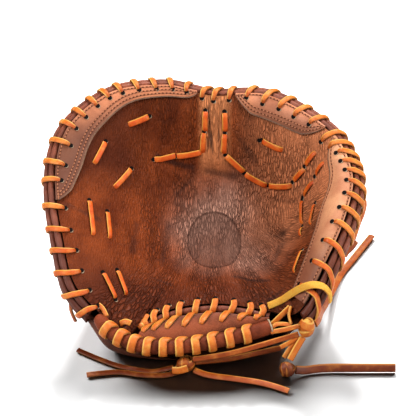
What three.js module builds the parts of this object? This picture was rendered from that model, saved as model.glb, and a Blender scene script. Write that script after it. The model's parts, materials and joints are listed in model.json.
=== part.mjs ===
// Softball catcher's mitt, lying on its back with the pocket up and the web end raised.
// Lengths are millimetres. The palm frame is u to the thumb side, v from the heel to the web and n out of
// the pocket. It is turned about u by palmTilt, and its origin stands palmHeight above the surface.
import * as THREE from 'three';
import { mergeVertices } from 'three/addons/utils/BufferGeometryUtils.js';

// Stance
const palmTilt = THREE.MathUtils.degToRad(27);
const palmHeight = 84;
const middle = { x: -1.774, y: 0.648 };

// Leather and lace
const clearance = 0.3;
const backWall = 3;
const patchWall = 2;
const patchLift = 1;
const padMiddle = 9.5;
const padEdge = 6;
const laceRadius = 2.2;

// Palm bowl: its deepest point, and the outline of its top edge, clockwise from the finger side of the heel.
// wallFoot and wallTop say where, from 0 at the deepest point to 1 at the edge, the wall starts and ends.
// belly is how square the back bulges under that place.
const pocket = { u: 10, v: 5, n: -44 };
const outlineRows = [
  // u, v, n, wallFoot, wallTop, belly
  [-85, -90, -8, 0.15, 1.05, 4],
  [-108, -67, 6, 0.1, 1.05, 4],
  [-119, -27, 12, 0.1, 1.05, 3.4],
  [-127, 18, 15, 0.1, 1.05, 3],
  [-125, 58, 18, 0.1, 1.05, 2.6],
  [-111, 87, 20, 0.15, 1.05, 2.3],
  [-79, 112, 22, 0.2, 1.05, 1.8],
  [-37, 119, 21, 0.2, 1.05, 1.5],
  [-12, 116, 18, 0.2, 1.05, 1.4],
  [9, 112, 16, 0.2, 1.05, 1.4],
  [38, 111, 20, 0.25, 1.05, 1.4],
  [58, 106, 24, 0.3, 1.05, 1.5],
  [85, 88, 28, 0.4, 1.02, 1.9],
  [112, 58, 34, 0.5, 1, 2.4],
  [124, 18, 38, 0.55, 0.97, 2.8],
  [118, -16, 38, 0.55, 0.97, 3],
  [102, -55, 32, 0.5, 1, 3.4],
  [79, -92, 6, 0.4, 1.05, 4],
  [56, -84, -12.5, 0.2, 1, 6],
  [39, -80, -14.5, 0.1, 1, 6],
  [15, -75.5, -16.5, 0.1, 1, 6],
  [-11.5, -76.2, -18.5, 0.1, 1, 6],
  [-34, -81, -20.5, 0.1, 1, 6],
  [-54, -90.5, -22, 0.1, 1, 6],
  [-62, -102.5, -16, 0.1, 1, 6],
  [-74, -101, -10, 0.1, 1, 6],
];
const rimEnd = 17;
const heelStart = 18;
const pipingEnd = 68 / 3;
const padEnd = 23;
const stepsPerRimRow = 3;
const stepsPerHeelRow = 3;
const palmRings = [0.17, 0.33, 0.47, 0.59, 0.69, 0.78, 0.86, 0.93, 1];

// Back: its own deepest point, its rings, and the lip of the hand opening from the thumb side to the fingers
const belly = { u: 0, v: -15, n: -99 };
const backRings = [0.22, 0.42, 0.58, 0.71, 0.82, 0.9, 0.96, 1];
const lipBelly = 9;
const lipRows = [
  // u, v, n
  [62, -108, -22],
  [38, -116, -25],
  [12, -121, -25],
  [-14, -123, -25],
  [-40, -123, -24],
  [-62, -119, -21],
  [-80, -109, -17],
];
const stepsPerLipRow = 3;

// Rolls of the rim, each by its radius, how far out of the palm's edge and how far below it its middle runs
const rimRolls = {
  palm_binding: { radius: 2.7, out: 3, drop: 2.5, sides: 8 },
  rim_welt: { radius: 2.2, out: 7.2, drop: 5.7, sides: 6 },
  back_binding: { radius: 3, out: 6.5, drop: 11.3, sides: 8 },
};
const rimRollStart = 1 / 3;
const backEdge = { out: 6.5, drop: 14.7 };

// Patches by the inner edge of their leather, measured as the rings are
const patches = {
  patch_finger: [
    [3, 0.97], [10 / 3, 0.91], [4, 0.835], [5, 0.845], [6, 0.88], [7, 0.89], [8, 0.94], [25 / 3, 0.985],
  ],
  patch_web: [
    [29 / 3, 0.985], [10, 0.9], [10.5, 0.825], [11, 0.812], [12, 0.825], [12.3, 0.86], [38 / 3, 0.93],
  ],
  patch_thumb: [[13, 0.965], [13.4, 0.91], [14, 0.885], [15, 0.86], [16, 0.86], [50 / 3, 0.88]],
};

// Heel: the piping along the palm's edge, the roll in front and the pad between them
const piping = { radius: 2.4, drop: 1.5 };
const roll = { radius: 6.5, sides: 10, stepsPerRow: 3 };
const rollRows = [
  // u, v, n
  [55, -101, -6],
  [38, -106.5, -6],
  [14, -112.5, -6],
  [-12, -117.5, -6],
  [-38, -118.5, -6.5],
  [-58, -115, -7],
  [-76, -106, -5],
];
const heelPad = { thickness: 6, edge: 3, bulge: 5, seat: 0.8 };

// Knots by their middle above the surface and their half sizes
const knots = {
  thumb_knot: { at: [84, -96, 40], half: [6.5, 6, 10] },
  heel_knot: { at: [-16, -105, 8], half: [8.5, 6.5, 7.5] },
  floor_knot: { at: [68, -111, 8], half: [7.5, 6.5, 7.5] },
};

// Lace ends and runs, each by points along its middle above the surface
const laceRoutes = {
  tail_up: [
    [91.3, -92, 41], [94.5, -83, 38], [97.2, -70, 32.5], [100, -54, 24], [105, -36, 17], [111, -16, 11],
    [118, 6, 6], [126, 27, 3.2], [137, 46, 2.3], [148, 65, 2.3], [159, 84, 2.3],
  ],
  tail_floor: [
    [75.6, -110, 7], [84, -108, 4.2], [94, -106, 2.6], [106, -105, 2.3], [120, -105, 2.3],
    [140, -105, 2.3], [159, -105, 2.3],
  ],
  tail_front: [
    [-8.6, -108.2, 4.9], [0, -111.5, 3.4], [9, -114, 2.5], [20, -116, 2.3], [32, -118.5, 2.3],
    [45, -121.5, 2.3], [57, -126, 2.3], [69, -132, 2.3],
  ],
  tail_left: [
    [-24.9, -106.5, 6.5], [-34, -107, 4], [-44, -107.5, 2.5], [-56, -105, 2.3], [-70, -101, 2.3],
    [-84, -94, 2.3], [-96, -87, 2.3], [-107, -80, 2.3],
  ],
  tail_left_short: [
    [-22.5, -109.6, 3.2], [-34, -112.8, 2.3], [-52, -112, 2.3], [-70, -108.5, 2.3], [-86, -110, 2.3],
    [-97, -112, 2.3],
  ],
  tail_raw: [
    [103.5, -84, 58], [102.5, -83, 66], [96.5, -82, 72.5], [87, -81.5, 73.5], [78.5, -78, 67],
    [72, -73, 57.5], [66, -69, 48.6], [60, -67.5, 43.4], [54, -66.8, 39.6],
  ],
  tail_thumb: [
    [131, 2.5, 106.3], [136.6, -2, 101.6], [134.9, -10, 96], [131, -18, 91.2], [125.5, -31.5, 83.5],
    [121.5, -37, 78], [118, -42, 73.5],
  ],
  run_upper: [[-9.3, -106, 15], [21, -104.5, 20], [50, -100, 26.5], [77.8, -96.6, 34.4]],
  run_lower: [[-7.4, -103.4, 9.8], [21, -98.4, 9.2], [46, -93.2, 11.4], [64, -89.6, 13.4]],
  knot_link: [[81.4, -97.2, 30.5], [75.8, -102.4, 22.5], [70.6, -107.8, 14.9]],
};

// Surface of the palm and its edge
const up = new THREE.Vector3(0, 0, 1);

function alongRows(rows, place, closed) {
  const span = Math.floor(place);
  const part = place - span;
  const wrap = (index) => THREE.MathUtils.euclideanModulo(index, rows.length);
  const hold = (index) => THREE.MathUtils.clamp(index, 0, rows.length - 1);
  const pick = (index) => rows[closed ? wrap(index) : hold(index)];
  const [before, from, to, after] = [span - 1, span, span + 1, span + 2].map(pick);
  return from.map((value, column) => {
    const slopeIn = (to[column] - before[column]) / 2;
    const slopeOut = (after[column] - value) / 2;
    const square = part * part;
    const cube = square * part;
    return (
      value * (2 * cube - 3 * square + 1) +
      slopeIn * (cube - 2 * square + part) +
      to[column] * (3 * square - 2 * cube) +
      slopeOut * (cube - square)
    );
  });
}

function betweenRows(rows, place) {
  const index = rows.findIndex((row) => row[0] >= place);
  if (index <= 0) {
    return rows[index < 0 ? rows.length - 1 : 0][1];
  }
  const [start, startValue] = rows[index - 1];
  const [end, endValue] = rows[index];
  return THREE.MathUtils.mapLinear(place, start, end, startValue, endValue);
}

function placesBetween(first, last, stepsPerRow) {
  const count = Math.round((last - first) * stepsPerRow);
  return Array.from({ length: count + 1 }, (_, step) => first + ((last - first) * step) / count);
}

function edgePoint(place, out, drop) {
  const [u, v, n] = alongRows(outlineRows, place, true);
  const [aheadU, aheadV] = alongRows(outlineRows, place + 0.05, true);
  const [behindU, behindV] = alongRows(outlineRows, place - 0.05, true);
  const outward = new THREE.Vector3(behindV - aheadV, aheadU - behindU, 0).normalize();
  return new THREE.Vector3(u, v, n - drop).addScaledVector(outward, out);
}

function palmPoint(place, ring) {
  const [, , , wallFoot, wallTop] = alongRows(outlineRows, place, true);
  const edge = edgePoint(place, 0, 0);
  const riseAt = (distance) => THREE.MathUtils.smoothstep(distance, wallFoot, wallTop);
  const rise = riseAt(ring) / riseAt(1);
  return new THREE.Vector3(
    pocket.u + (edge.x - pocket.u) * ring,
    pocket.v + (edge.y - pocket.v) * ring,
    pocket.n + (edge.z - pocket.n) * rise,
  );
}

function surfaceNormal(pointAt, place, ring) {
  const inner = pointAt(place, Math.max(ring - 0.02, 0.02));
  const outer = pointAt(place, Math.min(ring + 0.02, 1));
  const ahead = pointAt(place + 0.1, ring);
  const behind = pointAt(place - 0.1, ring);
  const normal = outer.sub(inner).cross(ahead.sub(behind)).normalize();
  return normal.z < 0 ? normal.negate() : normal;
}

// Closed meshes
function closedGeometry(points, triangles) {
  const geometry = new THREE.BufferGeometry();
  const coordinates = points.flatMap((point) => point.toArray());
  geometry.setAttribute('position', new THREE.Float32BufferAttribute(coordinates, 3));
  let volume = 0;
  for (const [a, b, c] of triangles) {
    volume += points[a].dot(new THREE.Vector3().crossVectors(points[b], points[c]));
  }
  geometry.setIndex(triangles.flatMap(([a, b, c]) => (volume < 0 ? [a, c, b] : [a, b, c])));
  geometry.computeVertexNormals();
  return geometry;
}

// Two discs of rings, one above the other, joined round their edge
function shellGeometry(topMiddle, topRings, lowMiddle, lowRings) {
  const points = [topMiddle, lowMiddle];
  const count = topRings[0].length;
  const addRings = (rings) => {
    const start = points.length;
    rings.forEach((ring) => points.push(...ring));
    return (ring, index) => start + ring * count + (index % count);
  };
  const top = addRings(topRings);
  const low = addRings(lowRings);
  const triangles = [];
  for (let index = 0; index < count; index += 1) {
    triangles.push([0, top(0, index + 1), top(0, index)]);
    triangles.push([1, low(0, index), low(0, index + 1)]);
    for (let ring = 0; ring + 1 < topRings.length; ring += 1) {
      triangles.push([top(ring, index), top(ring, index + 1), top(ring + 1, index + 1)]);
      triangles.push([top(ring, index), top(ring + 1, index + 1), top(ring + 1, index)]);
      triangles.push([low(ring, index + 1), low(ring, index), low(ring + 1, index + 1)]);
      triangles.push([low(ring + 1, index + 1), low(ring, index), low(ring + 1, index)]);
    }
    const rim = topRings.length - 1;
    triangles.push([top(rim, index), top(rim, index + 1), low(rim, index + 1)]);
    triangles.push([top(rim, index), low(rim, index + 1), low(rim, index)]);
  }
  return closedGeometry(points, triangles);
}

// Sections of equal count joined in a row and closed at both ends
function loftGeometry(sections) {
  const count = sections[0].length;
  const points = sections.flat();
  const triangles = [];
  const at = (section, index) => section * count + (index % count);
  for (let section = 0; section + 1 < sections.length; section += 1) {
    for (let index = 0; index < count; index += 1) {
      triangles.push([at(section, index), at(section, index + 1), at(section + 1, index + 1)]);
      triangles.push([at(section, index), at(section + 1, index + 1), at(section + 1, index)]);
    }
  }
  for (const [section, turned] of [[0, true], [sections.length - 1, false]]) {
    for (let index = 1; index + 1 < count; index += 1) {
      const [second, third] = turned ? [index + 1, index] : [index, index + 1];
      triangles.push([at(section, 0), at(section, second), at(section, third)]);
    }
  }
  return closedGeometry(points, triangles);
}

// A round section in the plane that stands across the palm's edge
function edgeSection(place, { radius, out, drop, sides }) {
  return Array.from({ length: sides }, (_, side) => {
    const angle = ((side + 0.5) / sides) * Math.PI * 2;
    return edgePoint(place, out + radius * Math.cos(angle), drop - radius * Math.sin(angle));
  });
}

// Materials
const leather = (color, roughness) => new THREE.MeshStandardMaterial({ color, roughness, metalness: 0 });
const palmLeather = leather(0x7d4126, 0.6);
const patchLeather = leather(0xa56e55, 0.55);
const bindingLeather = leather(0x5f3c30, 0.55);
const heelSuede = leather(0x7d463c, 0.85);
const backLeather = leather(0x6b3a26, 0.6);
const laceLeather = leather(0xeb7d2d, 0.6);

const mitt = new THREE.Group();
const tilted = new THREE.Group();
tilted.rotation.x = palmTilt;
tilted.position.z = palmHeight;
mitt.add(tilted);
mitt.position.set(-middle.x, -middle.y, 0);

function addPiece(parent, name, geometry, material) {
  const mesh = new THREE.Mesh(geometry, material);
  mesh.name = name;
  parent.add(mesh);
  return mesh;
}

// Palm: a padded leather wall, thick under the pocket and thinner at the edge
const loopPlaces = [
  ...placesBetween(0, rimEnd, stepsPerRimRow),
  ...placesBetween(rimEnd, outlineRows.length, stepsPerHeelRow).slice(1, -1),
];

function underPalm(place, ring) {
  const depth = THREE.MathUtils.lerp(padMiddle, padEdge, THREE.MathUtils.smoothstep(ring, 0.5, 1));
  const upright = THREE.MathUtils.smoothstep(ring, 0.7, 1);
  const normal = surfaceNormal(palmPoint, place, ring).lerp(up, upright).normalize();
  return palmPoint(place, ring).addScaledVector(normal, -depth);
}

const pocketTop = new THREE.Vector3(pocket.u, pocket.v, pocket.n);
addPiece(
  tilted,
  'palm_shell',
  shellGeometry(
    pocketTop,
    palmRings.map((ring) => loopPlaces.map((place) => palmPoint(place, ring))),
    pocketTop.clone().addScaledVector(up, -padMiddle),
    palmRings.map((ring) => loopPlaces.map((place) => underPalm(place, ring))),
  ),
  palmLeather,
);

// Back: one hollow wall from the rim down to the surface, with a lip under the heel where the hand goes in
const rimPlaces = placesBetween(rimRollStart, rimEnd, stepsPerRimRow);
const backLoop = [
  ...rimPlaces.map((place) => {
    const edge = edgePoint(place, backEdge.out, backEdge.drop);
    return { edge, power: alongRows(outlineRows, place, true)[5] };
  }),
  ...placesBetween(0, lipRows.length - 1, stepsPerLipRow).map((place) => {
    const [u, v, n] = alongRows(lipRows, place, false);
    return { edge: new THREE.Vector3(u, v, n), power: lipBelly };
  }),
];

function floorDepth(v) {
  return -(palmHeight + v * Math.sin(palmTilt)) / Math.cos(palmTilt);
}

function backPoint(place, ring) {
  const count = backLoop.length;
  const from = backLoop[THREE.MathUtils.euclideanModulo(Math.floor(place), count)];
  const to = backLoop[THREE.MathUtils.euclideanModulo(Math.floor(place) + 1, count)];
  const part = place - Math.floor(place);
  const edge = from.edge.clone().lerp(to.edge, part);
  const power = THREE.MathUtils.lerp(from.power, to.power, part);
  const v = belly.v + (edge.y - belly.v) * ring;
  const n = belly.n + (edge.z - belly.n) * ring ** power;
  return new THREE.Vector3(belly.u + (edge.x - belly.u) * ring, v, Math.max(n, floorDepth(v)));
}

function insideBack(place, ring) {
  const normal = surfaceNormal(backPoint, place, ring);
  if (ring === 1) {
    normal.setZ(0).normalize();
  }
  return backPoint(place, ring).addScaledVector(normal, backWall);
}

const backSteps = backLoop.map((_, index) => index);
const bellyLow = new THREE.Vector3(belly.u, belly.v, floorDepth(belly.v));
const floorNormal = new THREE.Vector3(0, Math.sin(palmTilt), Math.cos(palmTilt));
addPiece(
  tilted,
  'back_shell',
  shellGeometry(
    bellyLow.clone().addScaledVector(floorNormal, backWall),
    backRings.map((ring) => backSteps.map((step) => insideBack(step, ring))),
    bellyLow,
    backRings.map((ring) => backSteps.map((step) => backPoint(step, ring))),
  ),
  backLeather,
);

// Rim: three rolls, one outside and below the other
for (const [name, size] of Object.entries(rimRolls)) {
  addPiece(tilted, name, loftGeometry(rimPlaces.map((place) => edgeSection(place, size))), bindingLeather);
}

// Patches: thin leathers laid over the palm's rim
function patchSection(place, inner) {
  const rings = [0, 1, 2, 3].map((step) => THREE.MathUtils.lerp(inner, 1, step / 3));
  const layer = (ring, lift) => {
    const normal = surfaceNormal(palmPoint, place, ring);
    return palmPoint(place, ring).addScaledVector(normal, lift);
  };
  return [
    ...rings.map((ring) => layer(ring, patchLift)),
    ...rings.reverse().map((ring) => layer(ring, patchLift + patchWall)),
  ];
}

for (const [name, innerRows] of Object.entries(patches)) {
  const first = innerRows[0][0];
  const last = innerRows[innerRows.length - 1][0];
  const places = placesBetween(first, last, stepsPerRimRow);
  const sections = places.map((place) => patchSection(place, betweenRows(innerRows, place)));
  addPiece(tilted, name, loftGeometry(sections), patchLeather);
}

// Heel: the piping on the palm's edge, the roll in front and the pad that bulges between them
const pipingSize = { ...piping, out: piping.radius + clearance, sides: 8 };
const pipingPlaces = placesBetween(heelStart, pipingEnd, stepsPerHeelRow);
const pipingSections = pipingPlaces.map((place) => edgeSection(place, pipingSize));
addPiece(tilted, 'heel_piping', loftGeometry(pipingSections), bindingLeather);

function rollPoint(place) {
  return new THREE.Vector3(...alongRows(rollRows, place, false));
}

function rollSection(place) {
  const along = rollPoint(place + 0.05).sub(rollPoint(place - 0.05)).setZ(0).normalize();
  const across = new THREE.Vector3(along.y, -along.x, 0);
  return Array.from({ length: roll.sides }, (_, side) => {
    const angle = ((side + 0.5) / roll.sides) * Math.PI * 2;
    return rollPoint(place)
      .addScaledVector(across, roll.radius * Math.cos(angle))
      .addScaledVector(up, roll.radius * Math.sin(angle));
  });
}

const rollPlaces = placesBetween(0, rollRows.length - 1, roll.stepsPerRow);
addPiece(tilted, 'heel_roll', loftGeometry(rollPlaces.map(rollSection)), bindingLeather);

function padSection(place) {
  const inner = edgePoint(place, pipingSize.out + piping.radius + clearance, piping.drop);
  const middleOfRoll = rollPoint(place - heelStart);
  const reach = inner.clone().sub(middleOfRoll);
  const outer = middleOfRoll.addScaledVector(reach.clone().normalize(), roll.radius + heelPad.seat);
  const steps = [0, 0.25, 0.5, 0.75, 1];
  const layer = (step, side) => {
    const crown = 4 * step * (1 - step);
    const half = THREE.MathUtils.lerp(heelPad.edge, heelPad.thickness, crown) / 2;
    return inner.clone().lerp(outer, step).addScaledVector(up, heelPad.bulge * crown + side * half);
  };
  return [...steps.map((step) => layer(step, -1)), ...steps.reverse().map((step) => layer(step, 1))];
}

const padPlaces = placesBetween(heelStart, padEnd, stepsPerHeelRow);
addPiece(tilted, 'heel_pad', loftGeometry(padPlaces.map(padSection)), heelSuede);

// Knots and laces
for (const [name, { at, half }] of Object.entries(knots)) {
  const ball = new THREE.SphereGeometry(1, 10, 8);
  ball.deleteAttribute('normal');
  ball.deleteAttribute('uv');
  const geometry = mergeVertices(ball, 1e-4);
  geometry.scale(...half);
  geometry.computeVertexNormals();
  addPiece(mitt, name, geometry, laceLeather).position.set(...at);
}

function laceGeometry(points) {
  const path = new THREE.CatmullRomCurve3(points.map((point) => new THREE.Vector3(...point)));
  const section = new THREE.Shape();
  for (let side = 0; side < 8; side += 1) {
    const angle = ((side + 0.5) / 8) * Math.PI * 2;
    const [x, y] = [laceRadius * Math.cos(angle), laceRadius * Math.sin(angle)];
    if (side === 0) {
      section.moveTo(x, y);
    } else {
      section.lineTo(x, y);
    }
  }
  section.closePath();
  const steps = Math.max(4, Math.round(path.getLength() / (5 * laceRadius)));
  return new THREE.ExtrudeGeometry(section, { steps, bevelEnabled: false, extrudePath: path });
}

for (const [name, points] of Object.entries(laceRoutes)) {
  addPiece(mitt, name, laceGeometry(points), laceLeather);
}

export default mitt;
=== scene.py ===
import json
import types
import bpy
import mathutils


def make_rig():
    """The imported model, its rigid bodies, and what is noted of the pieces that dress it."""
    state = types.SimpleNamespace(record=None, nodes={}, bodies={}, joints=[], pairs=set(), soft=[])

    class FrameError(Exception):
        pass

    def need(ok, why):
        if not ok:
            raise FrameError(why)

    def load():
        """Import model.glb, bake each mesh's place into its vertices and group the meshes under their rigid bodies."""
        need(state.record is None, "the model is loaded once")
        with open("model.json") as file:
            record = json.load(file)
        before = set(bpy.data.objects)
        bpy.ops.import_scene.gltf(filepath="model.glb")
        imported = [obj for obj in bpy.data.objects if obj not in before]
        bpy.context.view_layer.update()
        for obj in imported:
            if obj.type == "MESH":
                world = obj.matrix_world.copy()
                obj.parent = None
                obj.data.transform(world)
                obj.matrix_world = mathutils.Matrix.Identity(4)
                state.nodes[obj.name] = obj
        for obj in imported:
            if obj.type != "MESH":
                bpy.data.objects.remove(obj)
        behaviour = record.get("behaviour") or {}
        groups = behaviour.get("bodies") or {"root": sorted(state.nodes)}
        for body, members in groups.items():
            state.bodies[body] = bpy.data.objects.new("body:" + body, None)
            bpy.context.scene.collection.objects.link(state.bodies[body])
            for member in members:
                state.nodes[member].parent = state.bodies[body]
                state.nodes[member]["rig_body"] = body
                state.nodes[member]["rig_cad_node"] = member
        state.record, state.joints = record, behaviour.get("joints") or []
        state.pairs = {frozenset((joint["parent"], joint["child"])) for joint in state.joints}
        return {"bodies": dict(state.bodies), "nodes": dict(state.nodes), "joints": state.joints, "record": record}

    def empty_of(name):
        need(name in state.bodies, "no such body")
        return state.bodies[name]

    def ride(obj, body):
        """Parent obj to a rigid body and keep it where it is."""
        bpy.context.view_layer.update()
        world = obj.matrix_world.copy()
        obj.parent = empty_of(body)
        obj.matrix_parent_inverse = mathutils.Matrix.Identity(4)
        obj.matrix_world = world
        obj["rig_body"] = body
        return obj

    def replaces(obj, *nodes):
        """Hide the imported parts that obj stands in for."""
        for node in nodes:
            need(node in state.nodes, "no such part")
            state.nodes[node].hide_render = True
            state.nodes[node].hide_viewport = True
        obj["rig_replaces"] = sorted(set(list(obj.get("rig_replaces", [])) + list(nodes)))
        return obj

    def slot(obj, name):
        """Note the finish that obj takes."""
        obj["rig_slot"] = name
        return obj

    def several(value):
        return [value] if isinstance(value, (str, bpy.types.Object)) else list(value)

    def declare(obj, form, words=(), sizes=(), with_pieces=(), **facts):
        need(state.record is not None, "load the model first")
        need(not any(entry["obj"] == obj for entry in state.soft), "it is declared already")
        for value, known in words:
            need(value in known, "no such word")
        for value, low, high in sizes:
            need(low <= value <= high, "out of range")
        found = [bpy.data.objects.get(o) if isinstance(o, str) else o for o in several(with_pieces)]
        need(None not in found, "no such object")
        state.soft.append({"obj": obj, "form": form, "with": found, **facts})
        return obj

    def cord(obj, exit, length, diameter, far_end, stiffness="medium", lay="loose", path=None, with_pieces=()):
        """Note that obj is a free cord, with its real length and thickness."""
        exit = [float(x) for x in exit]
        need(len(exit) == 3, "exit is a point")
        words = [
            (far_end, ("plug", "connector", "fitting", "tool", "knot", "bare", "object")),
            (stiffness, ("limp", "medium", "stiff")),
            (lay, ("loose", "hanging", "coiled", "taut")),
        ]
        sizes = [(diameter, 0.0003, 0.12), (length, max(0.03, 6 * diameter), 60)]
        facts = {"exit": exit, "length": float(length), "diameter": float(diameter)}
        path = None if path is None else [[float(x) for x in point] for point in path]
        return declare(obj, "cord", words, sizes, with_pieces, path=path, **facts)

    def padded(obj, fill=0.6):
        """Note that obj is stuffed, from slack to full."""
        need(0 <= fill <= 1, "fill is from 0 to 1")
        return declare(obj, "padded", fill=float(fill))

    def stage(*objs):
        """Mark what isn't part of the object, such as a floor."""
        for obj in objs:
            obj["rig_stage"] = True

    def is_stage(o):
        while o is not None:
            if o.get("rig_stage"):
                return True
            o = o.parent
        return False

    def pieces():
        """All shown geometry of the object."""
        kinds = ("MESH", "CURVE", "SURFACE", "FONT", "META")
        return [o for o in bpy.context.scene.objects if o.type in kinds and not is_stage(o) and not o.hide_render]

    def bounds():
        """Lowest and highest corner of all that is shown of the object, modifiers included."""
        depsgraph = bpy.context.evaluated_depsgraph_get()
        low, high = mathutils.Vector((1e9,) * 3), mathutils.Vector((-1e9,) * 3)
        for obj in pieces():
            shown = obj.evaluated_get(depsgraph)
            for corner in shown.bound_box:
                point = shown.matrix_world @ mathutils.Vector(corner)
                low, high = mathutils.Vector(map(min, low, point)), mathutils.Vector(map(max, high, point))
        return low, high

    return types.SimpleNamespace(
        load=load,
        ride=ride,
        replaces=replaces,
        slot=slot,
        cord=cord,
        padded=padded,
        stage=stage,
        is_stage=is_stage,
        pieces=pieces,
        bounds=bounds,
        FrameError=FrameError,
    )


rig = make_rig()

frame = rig.load()

import json
import math
from functools import lru_cache

import bpy
from mathutils import Matrix, Vector, noise
from mathutils.bvhtree import BVHTree

cad_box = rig.bounds()

# Stance and main sizes, in millimetres, as the solids have them
MM = 0.001
PALM_TILT = math.radians(27)
PALM_HEIGHT = 84
MIDDLE = Vector((-1.774, 0.648, 0))
TILT = Matrix.Rotation(PALM_TILT, 3, "X")
POCKET = Vector((10, 5, -44))

# Outline of the palm: u, v, n, where the wall starts and where it ends
OUTLINE = [
    (-85, -90, -8, 0.15, 1.05), (-108, -67, 6, 0.1, 1.05), (-119, -27, 12, 0.1, 1.05),
    (-127, 18, 15, 0.1, 1.05), (-125, 58, 18, 0.1, 1.05), (-111, 87, 20, 0.15, 1.05),
    (-79, 112, 22, 0.2, 1.05), (-37, 119, 21, 0.2, 1.05), (-12, 116, 18, 0.2, 1.05),
    (9, 112, 16, 0.2, 1.05), (38, 111, 20, 0.25, 1.05), (58, 106, 24, 0.3, 1.05),
    (85, 88, 28, 0.4, 1.02), (112, 58, 34, 0.5, 1), (124, 18, 38, 0.55, 0.97),
    (118, -16, 38, 0.55, 0.97), (102, -55, 32, 0.5, 1), (79, -92, 6, 0.4, 1.05),
    (56, -84, -12.5, 0.2, 1), (39, -80, -14.5, 0.1, 1), (15, -75.5, -16.5, 0.1, 1),
    (-11.5, -76.2, -18.5, 0.1, 1), (-34, -81, -20.5, 0.1, 1), (-54, -90.5, -22, 0.1, 1),
    (-62, -102.5, -16, 0.1, 1), (-74, -101, -10, 0.1, 1),
]
RIM_START = 1 / 3
RIM_END = 17
HEEL_START = 18
PAD_END = 23

# Rolls of the rim, plump as leather is: radius, how far out of the palm's edge and how far below it
ROLLS = {
    "palm_binding": (3.1, 3.6, 2.2),
    "rim_welt": (2.7, 8.4, 5.6),
    "back_binding": (3.3, 8, 11.6),
}
PIPING = (3.1, 3.6, 2)
ROLL_RADIUS = 6.5
ROLL_ROWS = [
    (55, -101, -6), (38, -106.5, -6), (14, -112.5, -6), (-12, -117.5, -6),
    (-38, -118.5, -6.5), (-58, -115, -7), (-76, -106, -5), (-89, -94, -1),
]

# Inner edge of each patch, by place along the outline and ring
PATCHES = {
    "patch_finger": [
        (2.74, 0.985), (2.89, 0.936), (3.11, 0.897), (3.7, 0.855), (4.3, 0.851), (4.9, 0.862), (5.4, 0.874),
        (5.85, 0.892), (6.35, 0.912), (6.8, 0.919), (7.5, 0.925), (8, 0.95), (8.25, 0.985),
    ],
    "patch_web": [
        (9.66, 0.985), (9.9, 0.926), (10.2, 0.885), (10.54, 0.862), (11.1, 0.857), (11.8, 0.865),
        (12.3, 0.88), (12.5, 0.905), (12.64, 0.943), (12.7, 0.985),
    ],
    "patch_thumb": [
        (13.02, 0.985), (13.16, 0.945), (13.31, 0.915), (13.5, 0.895), (13.8, 0.88), (14.1, 0.858),
        (14.5, 0.832), (14.85, 0.824), (15.3, 0.83), (15.7, 0.838), (16.1, 0.848), (16.5, 0.86),
        (16.8, 0.875),
    ],
}
PATCH_LIFT = 1.7
PATCH_WALL = 1.8

# Flat lace, its width where it is drawn tight, and the radius of its holes
LACE_WIDTH = 5.6
LACE_THICK = 1.8
LACE_CROWN = 0.5
LACE_BEVEL = 0.35
# The way toward the light; the edge of a lace turned to it carries a painted highlight
HIGHLIGHT_SIDE = Vector((-0.5, 0.45, 0.7))
WOUND_STEPS = 30
RIM_WIDTH = 4.5
WRAP_WIDTH = 6.5
HEEL_WIDTH = 4.8
DROP_WIDTH = 5.4
PALM_HOLE = 1.8
RIM_HOLE = 1.95
HEEL_HOLE = 1.9

# Lace over the rim: place and ring of its hole, and the place where it goes out of sight behind the rim
RIM_WRAPS = [
    (0.3, 0.99, 0.56), (0.72, 0.957, 1.0), (1.21, 0.943, 1.45), (1.68, 0.944, 1.9), (2.13, 0.957, 2.35),
    (2.6, 0.965, 2.8), (3.18, 0.98, 3.3), (3.56, 0.96, 3.74), (4.12, 0.955, 4.24), (4.68, 0.972, 4.76),
    (5.11, 0.974, 5.16), (5.49, 0.982, 5.52), (5.81, 0.985, 5.78), (6.12, 0.985, 6.06), (6.46, 0.985, 6.38),
    (6.82, 0.985, 6.72), (7.26, 0.985, 7.14), (7.8, 0.985, 7.92), (8.46, 0.975, 8.9), (8.97, 0.97, 9.3),
    (9.47, 0.975, 9.66), (10.04, 0.98, 10.4), (10.89, 0.949, 11.15), (11.47, 0.955, 11.62),
    (11.96, 0.955, 12.06), (12.4, 0.965, 12.5), (12.88, 0.93, 13.04), (13.18, 0.945, 13.3),
    (13.42, 0.968, 13.58), (13.65, 0.97, 13.78), (13.89, 0.975, 14.0), (14.18, 0.975, 14.36),
    (14.57, 0.972, 14.7), (14.97, 0.967, 15.09), (15.33, 0.958, 15.47), (15.74, 0.948, 15.98),
    (16.15, 0.936, 16.4), (16.56, 0.922, 16.84),
]

# Lace stitches in the palm, each from its open hole: both ends by u and v, and its width
PALM_STITCHES = [
    (-49.2, 94.4, -66.5, 86.3, 5), (-86.8, 68.7, -95.6, 47.8, 4.4), (-64.8, 51.7, -78, 31, 4.4),
    (-98.7, 11.5, -94.3, -20.4, 3.8), (-83.7, 5.1, -80.7, -19.5, 3.4), (-44.3, 64.1, -25.6, 69.2, 5),
    (-24.5, 68.8, -2.8, 71.8, 5), (1.2, 99, 1.2, 85.2, 4.6), (0.1, 84.4, -1.4, 71.4, 4.6),
    (18.4, 97.5, 18.7, 84.5, 4.6), (18.4, 83, 17.6, 70.3, 4.6), (19.8, 68.9, 36, 58.7, 5),
    (37.1, 57.3, 56.4, 47.6, 5), (58.3, 47.2, 77.6, 40.5, 5), (79.1, 42.6, 88.2, 45.4, 4.2),
    (88.6, 47.5, 96.5, 51.9, 4.2), (51.9, 75.7, 69.2, 65.1, 5), (96.7, 35.1, 102.9, 40, 3),
    (87.5, 27.1, 94.8, 31.9, 3.2), (86.5, 24.3, 86.2, 4.4, 3.8), (96, 11.3, 91.7, -6.3, 3),
    (85.9, 0, 83.9, -8, 3), (83.4, -33.2, 75.8, -53.4, 2.8), (-84.8, -54.1, -74.4, -73.5, 3),
    (-73.5, -48.7, -65.7, -67.9, 3),
]
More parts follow.
